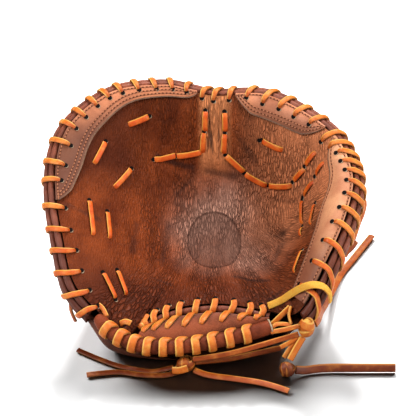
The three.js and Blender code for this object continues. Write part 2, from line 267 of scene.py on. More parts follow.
OPEN_HOLES = [(17.8, 98.4), (48.9, 76.3), (-74.4, -74.5), (1.2, 100)]

# Laces of the heel's edge by place, and wraps of the heel's roll by place
HEEL_LACES = [18.3, 18.94, 19.56, 20.2, 20.78, 21.38, 21.91, 22.38, 22.77, 23.1]
HEEL_WRAPS = [1.17, 1.75, 2.32, 2.82, 3.32, 3.82, 4.4, 5, 5.58, 6.2]

# Creases of the palm: both ends by u and v, width and depth
CREASES = [
    (-48, 68, -4, 60.5, 3, 0.7), (-4, 60.5, 35, 55, 3.4, 0.55), (60, 40, 84, 26, 3, 0.45),
    (4.5, 108, 5, 70, 1.3, 0.9), (8.5, 106, 8, 66, 1.2, 0.8), (12, 106, 13, 62, 1.3, 0.9),
    (15.5, 104, 14.5, 72, 1, 0.6), (-30, 20, -38, -40, 5, 0.5), (60, -30, 74, 10, 5, 0.5),
    (-58, 10, -62, -34, 4, 0.45), (24, 88, 50, 60, 3.5, 0.5), (70, -62, 50, -78, 2.6, 0.6),
    (-50, -46, -24, -52, 3, 0.5), (20, -44, 62, -48, 3, 0.6), (-6, 60, -28, 36, 3, 0.5),
    (-124, 6, -84, -6, 4, 0.5), (88, 16, 58, 0, 3, 0.45), (58, 0, 36, -14, 2.6, 0.35),
]
# Plain pressed disc, taller than wide, and the point that the wrinkles below it fan out from
DISC = (9, -3)
DISC_RADIUS = 23.5
DISC_FLAT = 0.79
FAN = (2, 45)
# Middle of the dusty part of the palm and of the web, in metres of the palm's own frame
DUST_MIDDLE = (0.024, 0.008, -0.044)
WEB_MIDDLE = 0.0095

# Laces that hang or lie free, by points above the surface that the mitt lies on
LACE_ROUTES = {
    "tail_up": [
        (91.3, -92, 41), (94.5, -83, 38), (97.2, -70, 32.5), (100, -54, 24), (105, -36, 17), (111, -16, 11),
        (118, 6, 6), (126, 27, 3.2), (137, 46, 2.3), (148, 65, 2.3), (159, 84, 2.3),
    ],
    "tail_floor": [
        (75.6, -110, 7), (84, -108, 4.2), (94, -106, 2.6), (106, -105, 2.3), (120, -105, 2.3),
        (140, -105, 2.3), (159, -105, 2.3),
    ],
    "tail_front": [
        (-8.6, -108.2, 4.9), (0, -111.5, 3.4), (9, -114, 2.5), (20, -116, 2.3), (32, -118.5, 2.3),
        (45, -121.5, 2.3), (57, -126, 2.3), (69, -132, 2.3),
    ],
    "tail_left": [
        (-24.9, -106.5, 6.5), (-34, -107, 4), (-44, -107.5, 2.5), (-56, -105, 2.3), (-70, -101, 2.3),
        (-84, -94, 2.3), (-96, -87, 2.3), (-107, -80, 2.3),
    ],
    "tail_left_short": [
        (-22.5, -109.6, 3.2), (-34, -112.8, 2.3), (-52, -112, 2.3), (-70, -108.5, 2.3), (-86, -110, 2.3),
        (-97, -112, 2.3),
    ],
    "tail_raw": [
        (103.5, -84, 58), (102.5, -83, 66), (96.5, -82, 72.5), (87, -81.5, 73.5), (78.5, -78, 67),
        (72, -73, 57.5), (66, -69, 48.6), (60, -67.5, 43.4), (54, -66.8, 39.6),
    ],
    "tail_thumb": [
        (131, 2.5, 106.3), (136.6, -2, 101.6), (134.9, -10, 96), (131, -18, 91.2), (125.5, -31.5, 83.5),
        (121.5, -37, 78), (118, -42, 73.5),
    ],
    "run_upper": [(-9.3, -106, 15), (21, -104.5, 20), (50, -100, 26.5), (77.8, -96.6, 34.4)],
    "run_lower": [(-7.4, -103.4, 9.8), (21, -98.4, 9.2), (46, -93.2, 11.4), (64, -89.6, 13.4)],
    "knot_link": [(81.4, -97.2, 30.5), (75.8, -102.4, 22.5), (70.6, -107.8, 14.9)],
}
# Short strands about the heel, by points above the surface: width, way the face looks, and gold or brown
STRANDS = [
    ([(54.2, -88, 34), (62.8, -84, 41.6), (71, -80.5, 49)], 4.4, (0.3, -0.8, 0.5), "gold"),
    ([(71.6, -80.5, 49.3), (69.8, -86, 44.6), (71.6, -92, 39.6)], 4.4, (0.9, -0.4, 0), "gold"),
    ([(55.2, -92.5, 32), (66.6, -94.5, 36.2), (78.5, -95.5, 41)], 3.6, (0, -0.8, 0.6), "gold"),
    ([(56, -90.5, 34.5), (59.4, -90, 37.6), (64, -90.5, 38.6), (72, -92.5, 39.4)], 3, (0, -0.6, 0.8), "gold"),
    ([(63.1, -100, 22), (70.1, -99, 26), (78, -96.5, 31)], 3.6, (0, -0.9, 0.4), "gold"),
    ([(77.6, -96, 29), (72.4, -99.5, 23), (66, -104, 14)], 3.6, (-0.3, -0.9, 0.3), "gold"),
    ([(-88.5, -69, 42.5), (-84, -74, 41.6), (-80.5, -80.5, 38.5)], 3.4, (-0.3, -0.7, 0.6), "gold"),
    ([(-69.5, -82, 32), (-65, -83, 35), (-60.6, -84.5, 34.2)], 4.6, (-0.2, -0.6, 0.8), "gold"),
    ([(-111.6, -58, 40), (-112.4, -61, 30), (-108.6, -64.5, 20)], 4, (-0.8, -0.6, 0), "brown"),
    ([(127, -36, 84), (123, -40, 80), (118, -44, 78)], 6, (0.5, -0.8, 0.4), "brown"),
    ([(-26, -110.5, 6), (-20.5, -112.5, 7.5), (-13.5, -112, 9.5)], 6, (0, -0.9, 0.45), "gold"),
]
# Middle of each knot above the surface, and half its size each way; the shares of that for core and bands
KNOT_CORE = 0.8
KNOT_BAND = 0.84
KNOTS = {
    "thumb_knot": ((84, -96, 40), (6.5, 6, 10)),
    "heel_knot": ((-16, -105, 8), (8.5, 6.5, 7.5)),
    "floor_knot": ((68, -111, 8), (7.5, 6.5, 7.5)),
}


# Places on the mitt
def from_surface(x, y, z):
    """A point above the surface that the mitt lies on, in metres."""
    return (Vector((x, y, z)) - MIDDLE) * MM


def from_palm(point):
    """A point of the palm's own frame, in metres where it lies."""
    laid = TILT @ Vector(point)
    return from_surface(laid.x, laid.y, laid.z + PALM_HEIGHT)


def to_palm(point):
    """A point in metres where it lies, in the palm's own frame."""
    return TILT.transposed() @ (point / MM + MIDDLE - Vector((0, 0, PALM_HEIGHT)))


def along_rows(rows, place, closed):
    """The smooth curve through a table's rows, read at a place between them."""
    span = math.floor(place)
    part = place - span
    last = len(rows) - 1

    def pick(index):
        return rows[index % len(rows)] if closed else rows[max(0, min(last, index))]

    before, start, end, after = (pick(span + step) for step in (-1, 0, 1, 2))
    square = part * part
    cube = square * part
    values = []
    for column, value in enumerate(start):
        slope_in = (end[column] - before[column]) / 2
        slope_out = (after[column] - value) / 2
        values.append(
            value * (2 * cube - 3 * square + 1)
            + slope_in * (cube - 2 * square + part)
            + end[column] * (3 * square - 2 * cube)
            + slope_out * (cube - square)
        )
    return values


def smooth_step(value, low, high):
    part = max(0, min(1, (value - low) / (high - low)))
    return part * part * (3 - 2 * part)


@lru_cache(maxsize=None)
def edge_frame(place):
    """The palm's edge there, the way out of it, and where its wall starts and ends."""
    u, v, n, foot, top = along_rows(OUTLINE, place, True)
    ahead = along_rows(OUTLINE, place + 0.05, True)
    behind = along_rows(OUTLINE, place - 0.05, True)
    outward = Vector((behind[1] - ahead[1], ahead[0] - behind[0], 0)).normalized()
    return Vector((u, v, n)), outward, foot, top


def edge_point(place, out, rise):
    """A point so far out of the palm's edge and above it."""
    edge, outward, _, _ = edge_frame(place)
    return edge + outward * out + Vector((0, 0, rise))


def palm_point(place, ring):
    """A point of the palm: place along the outline, and ring from 0 in the pocket to 1 at the edge."""
    edge, _, foot, top = edge_frame(place)
    rise = smooth_step(ring, foot, top) / smooth_step(1, foot, top)
    return Vector((
        POCKET.x + (edge.x - POCKET.x) * ring,
        POCKET.y + (edge.y - POCKET.y) * ring,
        POCKET.z + (edge.z - POCKET.z) * rise,
    ))


def palm_normal(place, ring):
    inner = palm_point(place, max(ring - 0.02, 0.02))
    outer = palm_point(place, min(ring + 0.02, 1))
    ahead = palm_point(place + 0.1, ring)
    behind = palm_point(place - 0.1, ring)
    normal = (outer - inner).cross(ahead - behind).normalized()
    return -normal if normal.z < 0 else normal


def above_palm(place, ring, lift):
    return palm_point(place, ring) + palm_normal(place, ring) * lift


def roll_point(place):
    return Vector(along_rows(ROLL_ROWS, place, False))


def roll_frame(place):
    """The middle of the heel's roll there, the way along it and the way across it to the palm."""
    along = roll_point(place + 0.05) - roll_point(place - 0.05)
    along.z = 0
    along.normalize()
    return roll_point(place), along, Vector((along.y, -along.x, 0))


def around_roll(place, angle, radius):
    """A point round the heel's roll, from the palm's side at 0 up over it."""
    centre, _, across = roll_frame(place)
    return centre + across * (radius * math.cos(angle)) + Vector((0, 0, radius * math.sin(angle)))


# Modelling steps
def deselect():
    for piece in bpy.context.selected_objects:
        piece.select_set(False)


def pick_up(piece):
    deselect()
    piece.select_set(True)
    bpy.context.view_layer.objects.active = piece


def finish_modifiers(piece):
    pick_up(piece)
    for modifier in list(piece.modifiers):
        bpy.ops.object.modifier_apply(modifier=modifier.name)


def shaped_grid(name, columns, rows, place_at):
    """A grid whose points are moved to place_at(along, across), each from 0 to 1."""
    deselect()
    bpy.ops.mesh.primitive_grid_add(x_subdivisions=columns, y_subdivisions=rows, size=2)
    piece = bpy.context.object
    piece.name = name
    for vertex in piece.data.vertices:
        vertex.co = place_at((vertex.co.x + 1) / 2, (vertex.co.y + 1) / 2)
    return piece


def edit_whole(piece, *steps):
    """Runs steps of edit mode, each on the whole of a piece."""
    pick_up(piece)
    bpy.ops.object.mode_set(mode="EDIT")
    for step in steps:
        bpy.ops.mesh.select_all(action="SELECT")
        step()
    bpy.ops.object.mode_set(mode="OBJECT")


def merge_points(distance):
    """A step that joins points closer than so many millimetres."""
    return lambda: bpy.ops.mesh.remove_doubles(threshold=distance * MM)


def face_outwards():
    bpy.ops.mesh.normals_make_consistent(inside=False)


def fill_ends():
    bpy.ops.mesh.fill_holes(sides=0)


def smooth_faces(piece, degrees=40):
    pick_up(piece)
    bpy.ops.object.shade_smooth_by_angle(angle=math.radians(degrees))


def dress(piece, *materials):
    """Gives a piece these materials alone."""
    piece.data.materials.clear()
    for material in materials:
        piece.data.materials.append(material)
    return piece


def set_in_place(piece, *nodes, slot=None):
    """Gives a finished piece its body, the solids it stands for and its slot."""
    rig.ride(piece, "root")
    if nodes:
        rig.replaces(piece, *nodes)
    if slot:
        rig.slot(piece, slot)
    return piece


def tube(name, columns, around, place_at):
    """A closed roll: place_at(along, angle) gives its skin."""
    piece = shaped_grid(name, columns, around, lambda along, across: place_at(along, across * 2 * math.pi))
    edit_whole(piece, merge_points(0.01), fill_ends, face_outwards)
    smooth_faces(piece, 50)
    return piece


def smooth_line(points, step):
    """Points about a step apart on the smooth curve through the given ones."""
    rows = [tuple(point) for point in points]
    line = []
    for index in range(len(rows) - 1):
        length = (Vector(rows[index + 1]) - Vector(rows[index])).length
        count = max(2, round(length / step))
        line += [Vector(along_rows(rows, index + part / count, False)) for part in range(count)]
    return line + [Vector(rows[-1])]


def lace_strip(line, facings, width=LACE_WIDTH, start_share=1, end_share=1, ease=3):
    """The face of a flat lace along a line in metres. facings are the ways it looks, one for each point.

    Its width runs from the lower edge, with its painted shade, to the upper one, turned toward the light, which
    carries a painted highlight.
    """
    count = len(line) - 1
    lengths = [0]
    for start, end in zip(line, line[1:]):
        lengths.append(lengths[-1] + (end - start).length)
    middle = count // 2
    turned = (line[middle + 1] - line[middle - 1]).cross(facings[middle]).dot(HIGHLIGHT_SIDE) < 0

    def place_at(along, across):
        index = round(along * count)
        ahead = line[min(index + 1, count)]
        behind = line[max(index - 1, 0)]
        tangent = (ahead - behind).normalized()
        side = tangent.cross(facings[index]).normalized()
        face = side.cross(tangent)
        share = start_share + (1 - start_share) * smooth_step(lengths[index], 0, ease * MM)
        share *= end_share + (1 - end_share) * smooth_step(lengths[-1] - lengths[index], 0, ease * MM)
        crown = LACE_CROWN * share * (1 - (2 * across - 1) ** 2)
        reach = width * share * (across - 0.5)
        if turned:
            reach = -reach
        return line[index] + side * (reach * MM) + face * (crown * MM)

    return shaped_grid("lace", count, 6, place_at)


def turned_path(rows, steps=3):
    """A line and the ways its face looks, from rows of a point and a facing in the palm's frame."""
    line, facings = [], []
    for step in range((len(rows) - 1) * steps + 1):
        values = along_rows(rows, step / steps, False)
        line.append(from_palm(values[:3]))
        facings.append(TILT @ Vector(values[3:]).normalized())
    return line, facings


def thicken(piece, thick, edge_width, offset=0):
    """Gives a sheet its wall, with the second material on its cut edge, and rounds that edge."""
    shell = piece.modifiers.new("thickness", "SOLIDIFY")
    shell.thickness = thick * MM
    shell.offset = offset
    shell.material_offset_rim = 1
    if edge_width:
        edge = piece.modifiers.new("rounded edge", "BEVEL")
        edge.width = edge_width * MM
        edge.segments = 2
        edge.limit_method = "ANGLE"
        edge.angle_limit = math.radians(50)
    finish_modifiers(piece)
    smooth_faces(piece, 60)
    return piece


def lacing(name, strips, *materials):
    """Lace strips joined into one piece and given their thickness."""
    piece = join_pieces(name, strips)
    for material in materials:
        piece.data.materials.append(material)
    return thicken(piece, LACE_THICK, LACE_BEVEL)


def join_pieces(name, pieces):
    """Pieces made into one, in the first one's place."""
    deselect()
    for piece in pieces:
        piece.select_set(True)
    bpy.context.view_layer.objects.active = pieces[0]
    if len(pieces) > 1:
        bpy.ops.object.join()
    pieces[0].name = name
    return pieces[0]


# Materials
# The light is strong enough to bleach the floor, so leathers take this share of the brightness they show
TONED = 0.62


def colour(red, green, blue):
    """A leather's colour for a socket, from the one seen on a screen, 0 to 255."""
    def linear(value):
        value /= 255
        return value / 12.92 if value <= 0.04045 else ((value + 0.055) / 1.055) ** 2.4

    return (linear(red) * TONED, linear(green) * TONED, linear(blue) * TONED, 1)


def add_node(tree, kind, settings=None, **inputs):
    """A node with its settings, and its sockets by name set or linked."""
    node = tree.nodes.new(kind)
    for key, value in (settings or {}).items():
        setattr(node, key, value)
    for key, value in inputs.items():
        socket = node.inputs[int(key[1:])] if key[0] == "_" else node.inputs[key.replace("_", " ")]
        if isinstance(value, bpy.types.NodeSocket):
            tree.links.new(value, socket)
        else:
            socket.default_value = value
    return node


def maths(tree, operation, first, second=0.0, third=0.0):
    settings = {"operation": operation}
    return add_node(tree, "ShaderNodeMath", settings, _0=first, _1=second, _2=third).outputs[0]


def vector_maths(tree, operation, **inputs):
    node = add_node(tree, "ShaderNodeVectorMath", {"operation": operation}, **inputs)
    return node.outputs["Value" if operation == "LENGTH" else "Vector"]


def mix_colour(tree, factor, first, second):
    settings = {"data_type": "RGBA"}
    return add_node(tree, "ShaderNodeMix", settings, _0=factor, _6=first, _7=second).outputs[2]


def spread(tree, value, low, high, new_low=0.0, new_high=1.0):
    settings = {"interpolation_type": "SMOOTHSTEP"}
    limits = {"_0": value, "_1": low, "_2": high, "_3": new_low, "_4": new_high}
    return add_node(tree, "ShaderNodeMapRange", settings, **limits).outputs[0]


def noise_value(tree, vector, scale, detail=3.0, roughness=0.55):
    return add_node(
        tree, "ShaderNodeTexNoise", Vector=vector, Scale=scale, Detail=detail, Roughness=roughness
    ).outputs["Fac"]


def stretched(tree, vector, scale, turn=(0, 0, 0), shift=(0, 0, 0)):
    return add_node(
        tree, "ShaderNodeMapping", Vector=vector, Scale=scale, Rotation=turn, Location=shift
    ).outputs[0]


def new_group(name, inputs, outputs):
    tree = bpy.data.node_groups.new(name, "ShaderNodeTree")
    for label, kind, value in inputs:
        socket = tree.interface.new_socket(label, in_out="INPUT", socket_type=kind)
        socket.default_value = value
    for label, kind in outputs:
        tree.interface.new_socket(label, in_out="OUTPUT", socket_type=kind)
    entry = tree.nodes.new("NodeGroupInput")
    leave = tree.nodes.new("NodeGroupOutput")
    return tree, entry.outputs, leave.inputs


def make_grain():
    """Leather skin: mottled dye, pebbles and pores."""
    tree, given, made = new_group(
        "leather grain",
        [
            ("Place", "NodeSocketVector", (0, 0, 0)),
            ("Dye", "NodeSocketColor", (0.2, 0.05, 0.02, 1)),
            ("Dark dye", "NodeSocketColor", (0.1, 0.03, 0.01, 1)),
            ("Pebbles per metre", "NodeSocketFloat", 700),
            ("Mottles per metre", "NodeSocketFloat", 40),
            ("Relief", "NodeSocketFloat", 1),
        ],
        [("Colour", "NodeSocketColor"), ("Height", "NodeSocketFloat"), ("Roughness", "NodeSocketFloat")],
    )
    mottle = noise_value(tree, given["Place"], given["Mottles per metre"], 5.0, 0.6)
    pebble = add_node(
        tree, "ShaderNodeTexVoronoi", {"feature": "SMOOTH_F1"},
        Vector=given["Place"], Scale=given["Pebbles per metre"], Smoothness=0.4,
    ).outputs["Distance"]
    fine = noise_value(tree, given["Place"], maths(tree, "MULTIPLY", given["Pebbles per metre"], 2.1), 3.0)
    dyed = mix_colour(tree, spread(tree, mottle, 0.3, 0.72), given["Dye"], given["Dark dye"])
    pores = spread(tree, pebble, 0.45, 0.8)
    made_colour = mix_colour(tree, maths(tree, "MULTIPLY", pores, 0.35), dyed, given["Dark dye"])
    height = maths(tree, "MULTIPLY_ADD", fine, 0.35, maths(tree, "SUBTRACT", 1.0, pebble))
    tree.links.new(made_colour, made["Colour"])
    tree.links.new(maths(tree, "MULTIPLY", height, given["Relief"]), made["Height"])
    tree.links.new(spread(tree, mottle, 0.2, 0.8, 0.42, 0.62), made["Roughness"])
    return tree


def make_wrinkles():
    """Cells of skin parted by wandering wrinkles, as a mask of the wrinkles and a height."""
    tree, given, made = new_group(
        "leather wrinkles",
        [("Place", "NodeSocketVector", (0, 0, 0)), ("Cells per metre", "NodeSocketFloat", 480)],
        [("Mask", "NodeSocketFloat"), ("Height", "NodeSocketFloat")],
    )
    cells = given["Cells per metre"]
    bend = add_node(
        tree, "ShaderNodeTexNoise", Vector=given["Place"], Scale=maths(tree, "MULTIPLY", cells, 0.32),
        Detail=3.0,
    ).outputs["Color"]
    reach = maths(tree, "DIVIDE", 1.7, cells)
    bend = vector_maths(tree, "SUBTRACT", _0=bend, _1=(0.5, 0.5, 0.5))
    bend = vector_maths(tree, "SCALE", _0=bend, _3=reach)
    bent = vector_maths(tree, "ADD", _0=given["Place"], _1=bend)
    edge = add_node(
        tree, "ShaderNodeTexVoronoi", {"feature": "DISTANCE_TO_EDGE"}, Vector=bent, Scale=cells
    ).outputs["Distance"]
    swell = spread(tree, edge, 0.0, 0.26)
    patchy = noise_value(tree, given["Place"], maths(tree, "MULTIPLY", cells, 0.1), 4.0)
    amount = spread(tree, patchy, 0.35, 0.6, 0.35, 1.0)
    tree.links.new(maths(tree, "MULTIPLY", maths(tree, "SUBTRACT", 1.0, swell), amount), made["Mask"])
    tree.links.new(maths(tree, "MULTIPLY", swell, amount), made["Height"])
    return tree


GRAIN = make_grain()
WRINKLES = make_wrinkles()


def new_material(name):
    material = bpy.data.materials.new(name)
    material.use_nodes = True
    tree = material.node_tree
    shader = tree.nodes["Principled BSDF"]
    place = tree.nodes.new("ShaderNodeTexCoord").outputs["Object"]
    return material, tree, shader, place


def use_group(tree, group, **inputs):
    return add_node(tree, "ShaderNodeGroup", {"node_tree": group}, **inputs).outputs


def join_shader(tree, shader, colour_socket, roughness, height, distance):
    tree.links.new(colour_socket, shader.inputs["Base Color"])
    if isinstance(roughness, bpy.types.NodeSocket):
        tree.links.new(roughness, shader.inputs["Roughness"])
    else:
        shader.inputs["Roughness"].default_value = roughness
    bump = add_node(tree, "ShaderNodeBump", Height=height, Strength=1.0, Distance=distance)
    tree.links.new(bump.outputs["Normal"], shader.inputs["Normal"])


def plain_leather(name, dye, dark, pebbles, relief, depth, specular, mottles, low=None):
    """Dyed leather. low gives a painted shade toward the floor: its colour, and the heights where that is whole and
    ends.
    """
    material, tree, shader, place = new_material(name)
    grain = use_group(
        tree, GRAIN, Place=place, Dye=colour(*dye), Dark_dye=colour(*dark), Pebbles_per_metre=pebbles,
        Mottles_per_metre=mottles, Relief=relief,
    )
    tone = grain["Colour"]
    if low:
        # Painted shade: the leather is darkened toward the floor
        floor_shade_colour, whole, end = low
        height = add_node(tree, "ShaderNodeSeparateXYZ", Vector=place).outputs["Z"]
        tone = mix_colour(tree, spread(tree, height, whole, end, 0.8, 0.0), tone, colour(*floor_shade_colour))
    join_shader(tree, shader, tone, grain["Roughness"], grain["Height"], depth)
    shader.inputs["Specular IOR Level"].default_value = specular
    return material


def palm_leather():
    """The palm's skin: dusty in the middle, wrinkled, creased and pebbled, with painted light and shade: darker and
    redder toward the heel, lighter toward the thumb and in the web, darker under the finger side and in its wrinkles
    and creases.
    """
    material, tree, shader, place = new_material("palm leather")
    shift = TILT.transposed() @ (MIDDLE - Vector((0, 0, PALM_HEIGHT))) * MM
    flat = stretched(tree, place, (1, 1, 1), (-PALM_TILT, 0, 0), shift)
    axes = add_node(tree, "ShaderNodeSeparateXYZ", Vector=flat).outputs
    grain = use_group(
        tree, GRAIN, Place=flat, Dye=colour(172, 86, 38), Dark_dye=colour(116, 50, 18),
        Pebbles_per_metre=760, Mottles_per_metre=30, Relief=0.5,
    )
    # Wrinkles run up the palm, fan out below the pocket's middle and lie close in the web
    upright = use_group(tree, WRINKLES, Place=stretched(tree, flat, (1, 0.235, 0.235)), Cells_per_metre=570)
    above = maths(tree, "SUBTRACT", FAN[1] * MM, axes["Y"])
    beside = maths(tree, "SUBTRACT", axes["X"], FAN[0] * MM)
    fan_angle = maths(tree, "ARCTAN2", beside, above)
    from_fan = add_node(tree, "ShaderNodeCombineXYZ", X=beside, Y=above).outputs[0]
    fan_reach = vector_maths(tree, "LENGTH", _0=from_fan)
    fanned = add_node(
        tree, "ShaderNodeCombineXYZ", X=maths(tree, "MULTIPLY", fan_angle, 0.095),
        Y=maths(tree, "MULTIPLY", fan_reach, 0.26),
    ).outputs[0]
    fan = use_group(tree, WRINKLES, Place=fanned, Cells_per_metre=550)
    web_folds = use_group(tree, WRINKLES, Place=stretched(tree, flat, (1, 0.2, 0.2)), Cells_per_metre=430)
    low = maths(tree, "ADD", axes["Y"], maths(tree, "MULTIPLY", axes["X"], -0.5))
    low = spread(tree, low, 0.0, -0.04)
    from_web = maths(tree, "ABSOLUTE", maths(tree, "SUBTRACT", axes["X"], WEB_MIDDLE))
    web_across = spread(tree, from_web, 0.009, 0.017, 1.0, 0.0)
    web = maths(tree, "MULTIPLY", web_across, spread(tree, axes["Y"], 0.05, 0.075))

    def blend(kind):
        across = add_node(tree, "ShaderNodeMix", _0=low, _2=upright[kind], _3=fan[kind]).outputs[0]
        return add_node(tree, "ShaderNodeMix", _0=web, _2=across, _3=web_folds[kind]).outputs[0]

    wrinkled = blend("Mask")
    loose = maths(tree, "MAXIMUM", spread(tree, axes["X"], -0.09, -0.02, 0.25, 1.0), low)
    raised = maths(tree, "MULTIPLY", blend("Height"), loose)
    from_middle = vector_maths(tree, "SUBTRACT", _0=flat, _1=DUST_MIDDLE)
    reach = vector_maths(tree, "LENGTH", _0=from_middle)
    middle = spread(tree, reach, 0.022, 0.072, 1.0, 0.0)
    cloud = noise_value(tree, flat, 26, 4.0, 0.6)
    dusty = maths(tree, "MULTIPLY", middle, spread(tree, cloud, 0.35, 0.65, 0.5, 1.0))
    tone = mix_colour(tree, maths(tree, "MULTIPLY", dusty, 0.9), grain["Colour"], colour(244, 188, 164))
    # Painted shade: darker and redder toward the heel, whose slope faces away from the light
    tone = mix_colour(tree, spread(tree, axes["Y"], -0.02, -0.07, 0.0, 0.8), tone, colour(112, 52, 28))
    # Painted light: lighter on the thumb side's wall, which faces the light
    toward_thumb = spread(tree, axes["X"], 0.015, 0.075)
    right = maths(tree, "MULTIPLY", toward_thumb, spread(tree, axes["Y"], -0.03, 0.02, 0.08, 0.95))
    tone = mix_colour(tree, right, tone, colour(246, 160, 112))
    toward_fingers = spread(tree, axes["X"], -0.04, -0.075)
    shade = maths(tree, "MULTIPLY", toward_fingers, spread(tree, axes["Y"], 0.0, 0.06, 0.0, 0.68))
    tone = mix_colour(tree, shade, tone, colour(104, 46, 20))
    # Painted light: lighter in the web, which faces the light
    tone = mix_colour(tree, maths(tree, "MULTIPLY", web, 0.9), tone, colour(255, 168, 112))
    # Painted shade in the wrinkles' grooves, strongest where the leather is loose
    wrinkle_shade_share = maths(tree, "MULTIPLY", loose, spread(tree, axes["Y"], 0.02, 0.07, 0.62, 0.42))
    deep = maths(tree, "MULTIPLY", wrinkled, wrinkle_shade_share)
    tone = mix_colour(tree, deep, tone, colour(60, 27, 15))
    # Painted shade in the creases
    crease = add_node(tree, "ShaderNodeAttribute", {"attribute_name": "crease"}).outputs["Fac"]
    tone = mix_colour(tree, spread(tree, crease, 0.1, 0.8, 0.0, 0.75), tone, colour(58, 40, 38))
    oval = stretched(tree, flat, (1, DISC_FLAT, 0), (0, 0, 0), (-DISC[0] * MM, -DISC[1] * DISC_FLAT * MM, 0))
    disc = vector_maths(tree, "LENGTH", _0=oval)
    pressed = spread(tree, disc, (DISC_RADIUS - 1) * MM, DISC_RADIUS * MM, 1.0, 0.0)
    from_ring = maths(tree, "ABSOLUTE", maths(tree, "SUBTRACT", disc, DISC_RADIUS * MM))
    tone = mix_colour(tree, maths(tree, "MULTIPLY", pressed, 0.55), tone, colour(88, 58, 48))
    tone = mix_colour(tree, spread(tree, from_ring, 0.0004, 0.0011, 0.6, 0.0), tone, colour(70, 36, 26))
    height = maths(tree, "MULTIPLY_ADD", raised, spread(tree, pressed, 0.0, 1.0, 2.2, 1.1), grain["Height"])
    rough = maths(tree, "MULTIPLY_ADD", dusty, 0.12, grain["Roughness"])
    join_shader(tree, shader, tone, rough, height, 0.0006)
    shader.inputs["Specular IOR Level"].default_value = 0.12
    return material


def suede(name, dye, dark, brushed):
    """Suede, paler where its nap is brushed up."""
    material, tree, shader, place = new_material(name)
    nap = noise_value(tree, place, 1500, 5.0, 0.75)
    cloud = noise_value(tree, place, 60, 4.0)
    tone = mix_colour(tree, spread(tree, cloud, 0.3, 0.7), colour(*dye), colour(*dark))
    tone = mix_colour(tree, spread(tree, nap, 0.35, 0.7, 0.0, 0.5), tone, colour(*brushed))
    join_shader(tree, shader, tone, 0.92, nap, 0.0003)
    shader.inputs["Sheen Weight"].default_value = 0.12
    shader.inputs["Sheen Roughness"].default_value = 0.5
    shader.inputs["Specular IOR Level"].default_value = 0.15
    return material


def lace_leather(name, dye, worn_and_highlight, dark, start_shade_and_dye=0.0):
    """Lace: dyed face, with a painted shade along its lower edge and a painted highlight along its upper edge, and
    darker at its start where that is asked for, partly painted shade toward its hole and partly its dye.
    """
    material, tree, shader, place = new_material(name)
    dye, worn_and_highlight, dark = colour(*dye), colour(*worn_and_highlight), colour(*dark)
    laid = tree.nodes["Texture Coordinate"].outputs["UV"]
    strip = add_node(tree, "ShaderNodeSeparateXYZ", Vector=laid).outputs
    cloud = noise_value(tree, place, 130, 4.0)
    fibres = noise_value(tree, place, 1500, 4.0, 0.65)
    tone = mix_colour(tree, spread(tree, cloud, 0.45, 0.8, 0.0, 0.6), dye, worn_and_highlight)
    tone = mix_colour(tree, spread(tree, cloud, 0.5, 0.2, 0.0, 0.6), tone, dark)
    tone = mix_colour(tree, maths(tree, "MULTIPLY", spread(tree, fibres, 0.45, 0.75), 0.35), tone, dark)
    # Darker toward the start: painted shade where the lace goes into its hole, and partly its dye
    if start_shade_and_dye:
        tone = mix_colour(tree, spread(tree, strip["X"], 0.0, 0.34, start_shade_and_dye, 0.0), tone, dark)
    # Painted shade along the lower edge, and a painted highlight along the upper edge
    tone = mix_colour(tree, spread(tree, strip["Y"], 0.22, 0.02, 0.0, 0.5), tone, dark)
    tone = mix_colour(tree, spread(tree, strip["Y"], 0.74, 0.9, 0.0, 0.9), tone, worn_and_highlight)
    join_shader(tree, shader, tone, spread(tree, fibres, 0.3, 0.7, 0.4, 0.58), fibres, 0.00022)
    shader.inputs["Specular IOR Level"].default_value = 0.4
    return material


def fibre(name, light, dark):
    """A cut edge or a raw flesh side of leather."""
    material, tree, shader, place = new_material(name)
    light, dark = colour(*light), colour(*dark)
    fuzz = noise_value(tree, place, 1800, 4.0, 0.7)
    cloud = noise_value(tree, place, 150, 3.0)
    tone = mix_colour(tree, spread(tree, fuzz, 0.35, 0.7), light, dark)
    tone = mix_colour(tree, maths(tree, "MULTIPLY", spread(tree, cloud, 0.4, 0.7), 0.4), tone, dark)
    join_shader(tree, shader, tone, 0.85, fuzz, 0.0004)
    shader.inputs["Specular IOR Level"].default_value = 0.2
    return material


PALM = palm_leather()
# The last entry for the patches and the binding is a painted shade toward the floor: its colour and the heights where
# it is whole and ends
PATCH = plain_leather(
    "patch leather", (255, 172, 126), (206, 128, 90), 1500, 0.6, 0.0002, 0.35, 42,
    ((90, 46, 31), 0.128, 0.158),
)
THUMB_PATCH = plain_leather(
    "thumb patch leather", (255, 190, 144), (216, 144, 106), 1500, 0.6, 0.0002, 0.35, 42,
    ((136, 78, 54), 0.075, 0.116),
)
BINDING = plain_leather(
    "binding leather", (182, 100, 68), (122, 62, 40), 1300, 0.7, 0.00025, 0.4, 60,
    ((108, 52, 34), 0.05, 0.12),
)
HEEL_LEATHER = plain_leather("heel roll leather", (166, 82, 48), (110, 50, 28), 1300, 0.8, 0.0003, 0.15, 60)
PIPING_LEATHER = plain_leather("piping leather", (158, 84, 56), (104, 52, 34), 1300, 0.7, 0.00025, 0.35, 60)
BACK = plain_leather("back leather", (136, 74, 48), (88, 46, 30), 700, 0.9, 0.0003, 0.3, 30)
SUEDE = suede("heel suede", (160, 82, 50), (102, 48, 28), (204, 128, 92))
PATCH_EDGE = fibre("patch cut edge", (188, 148, 122), (116, 82, 66))
PALM_EDGE = fibre("palm cut edge", (120, 80, 58), (70, 42, 30))
PAD_FELT = fibre("pad felt", (84, 50, 34), (50, 30, 22))
RAW_EDGE = fibre("raw edge", (226, 206, 178), (176, 142, 112))
LACE_EDGE = fibre("lace cut edge", (255, 200, 116), (214, 128, 54))
TAIL_EDGE = fibre("tail cut edge", (212, 138, 66), (150, 86, 38))
RAW_LACE = fibre("raw lace side", (255, 216, 104), (255, 170, 62))
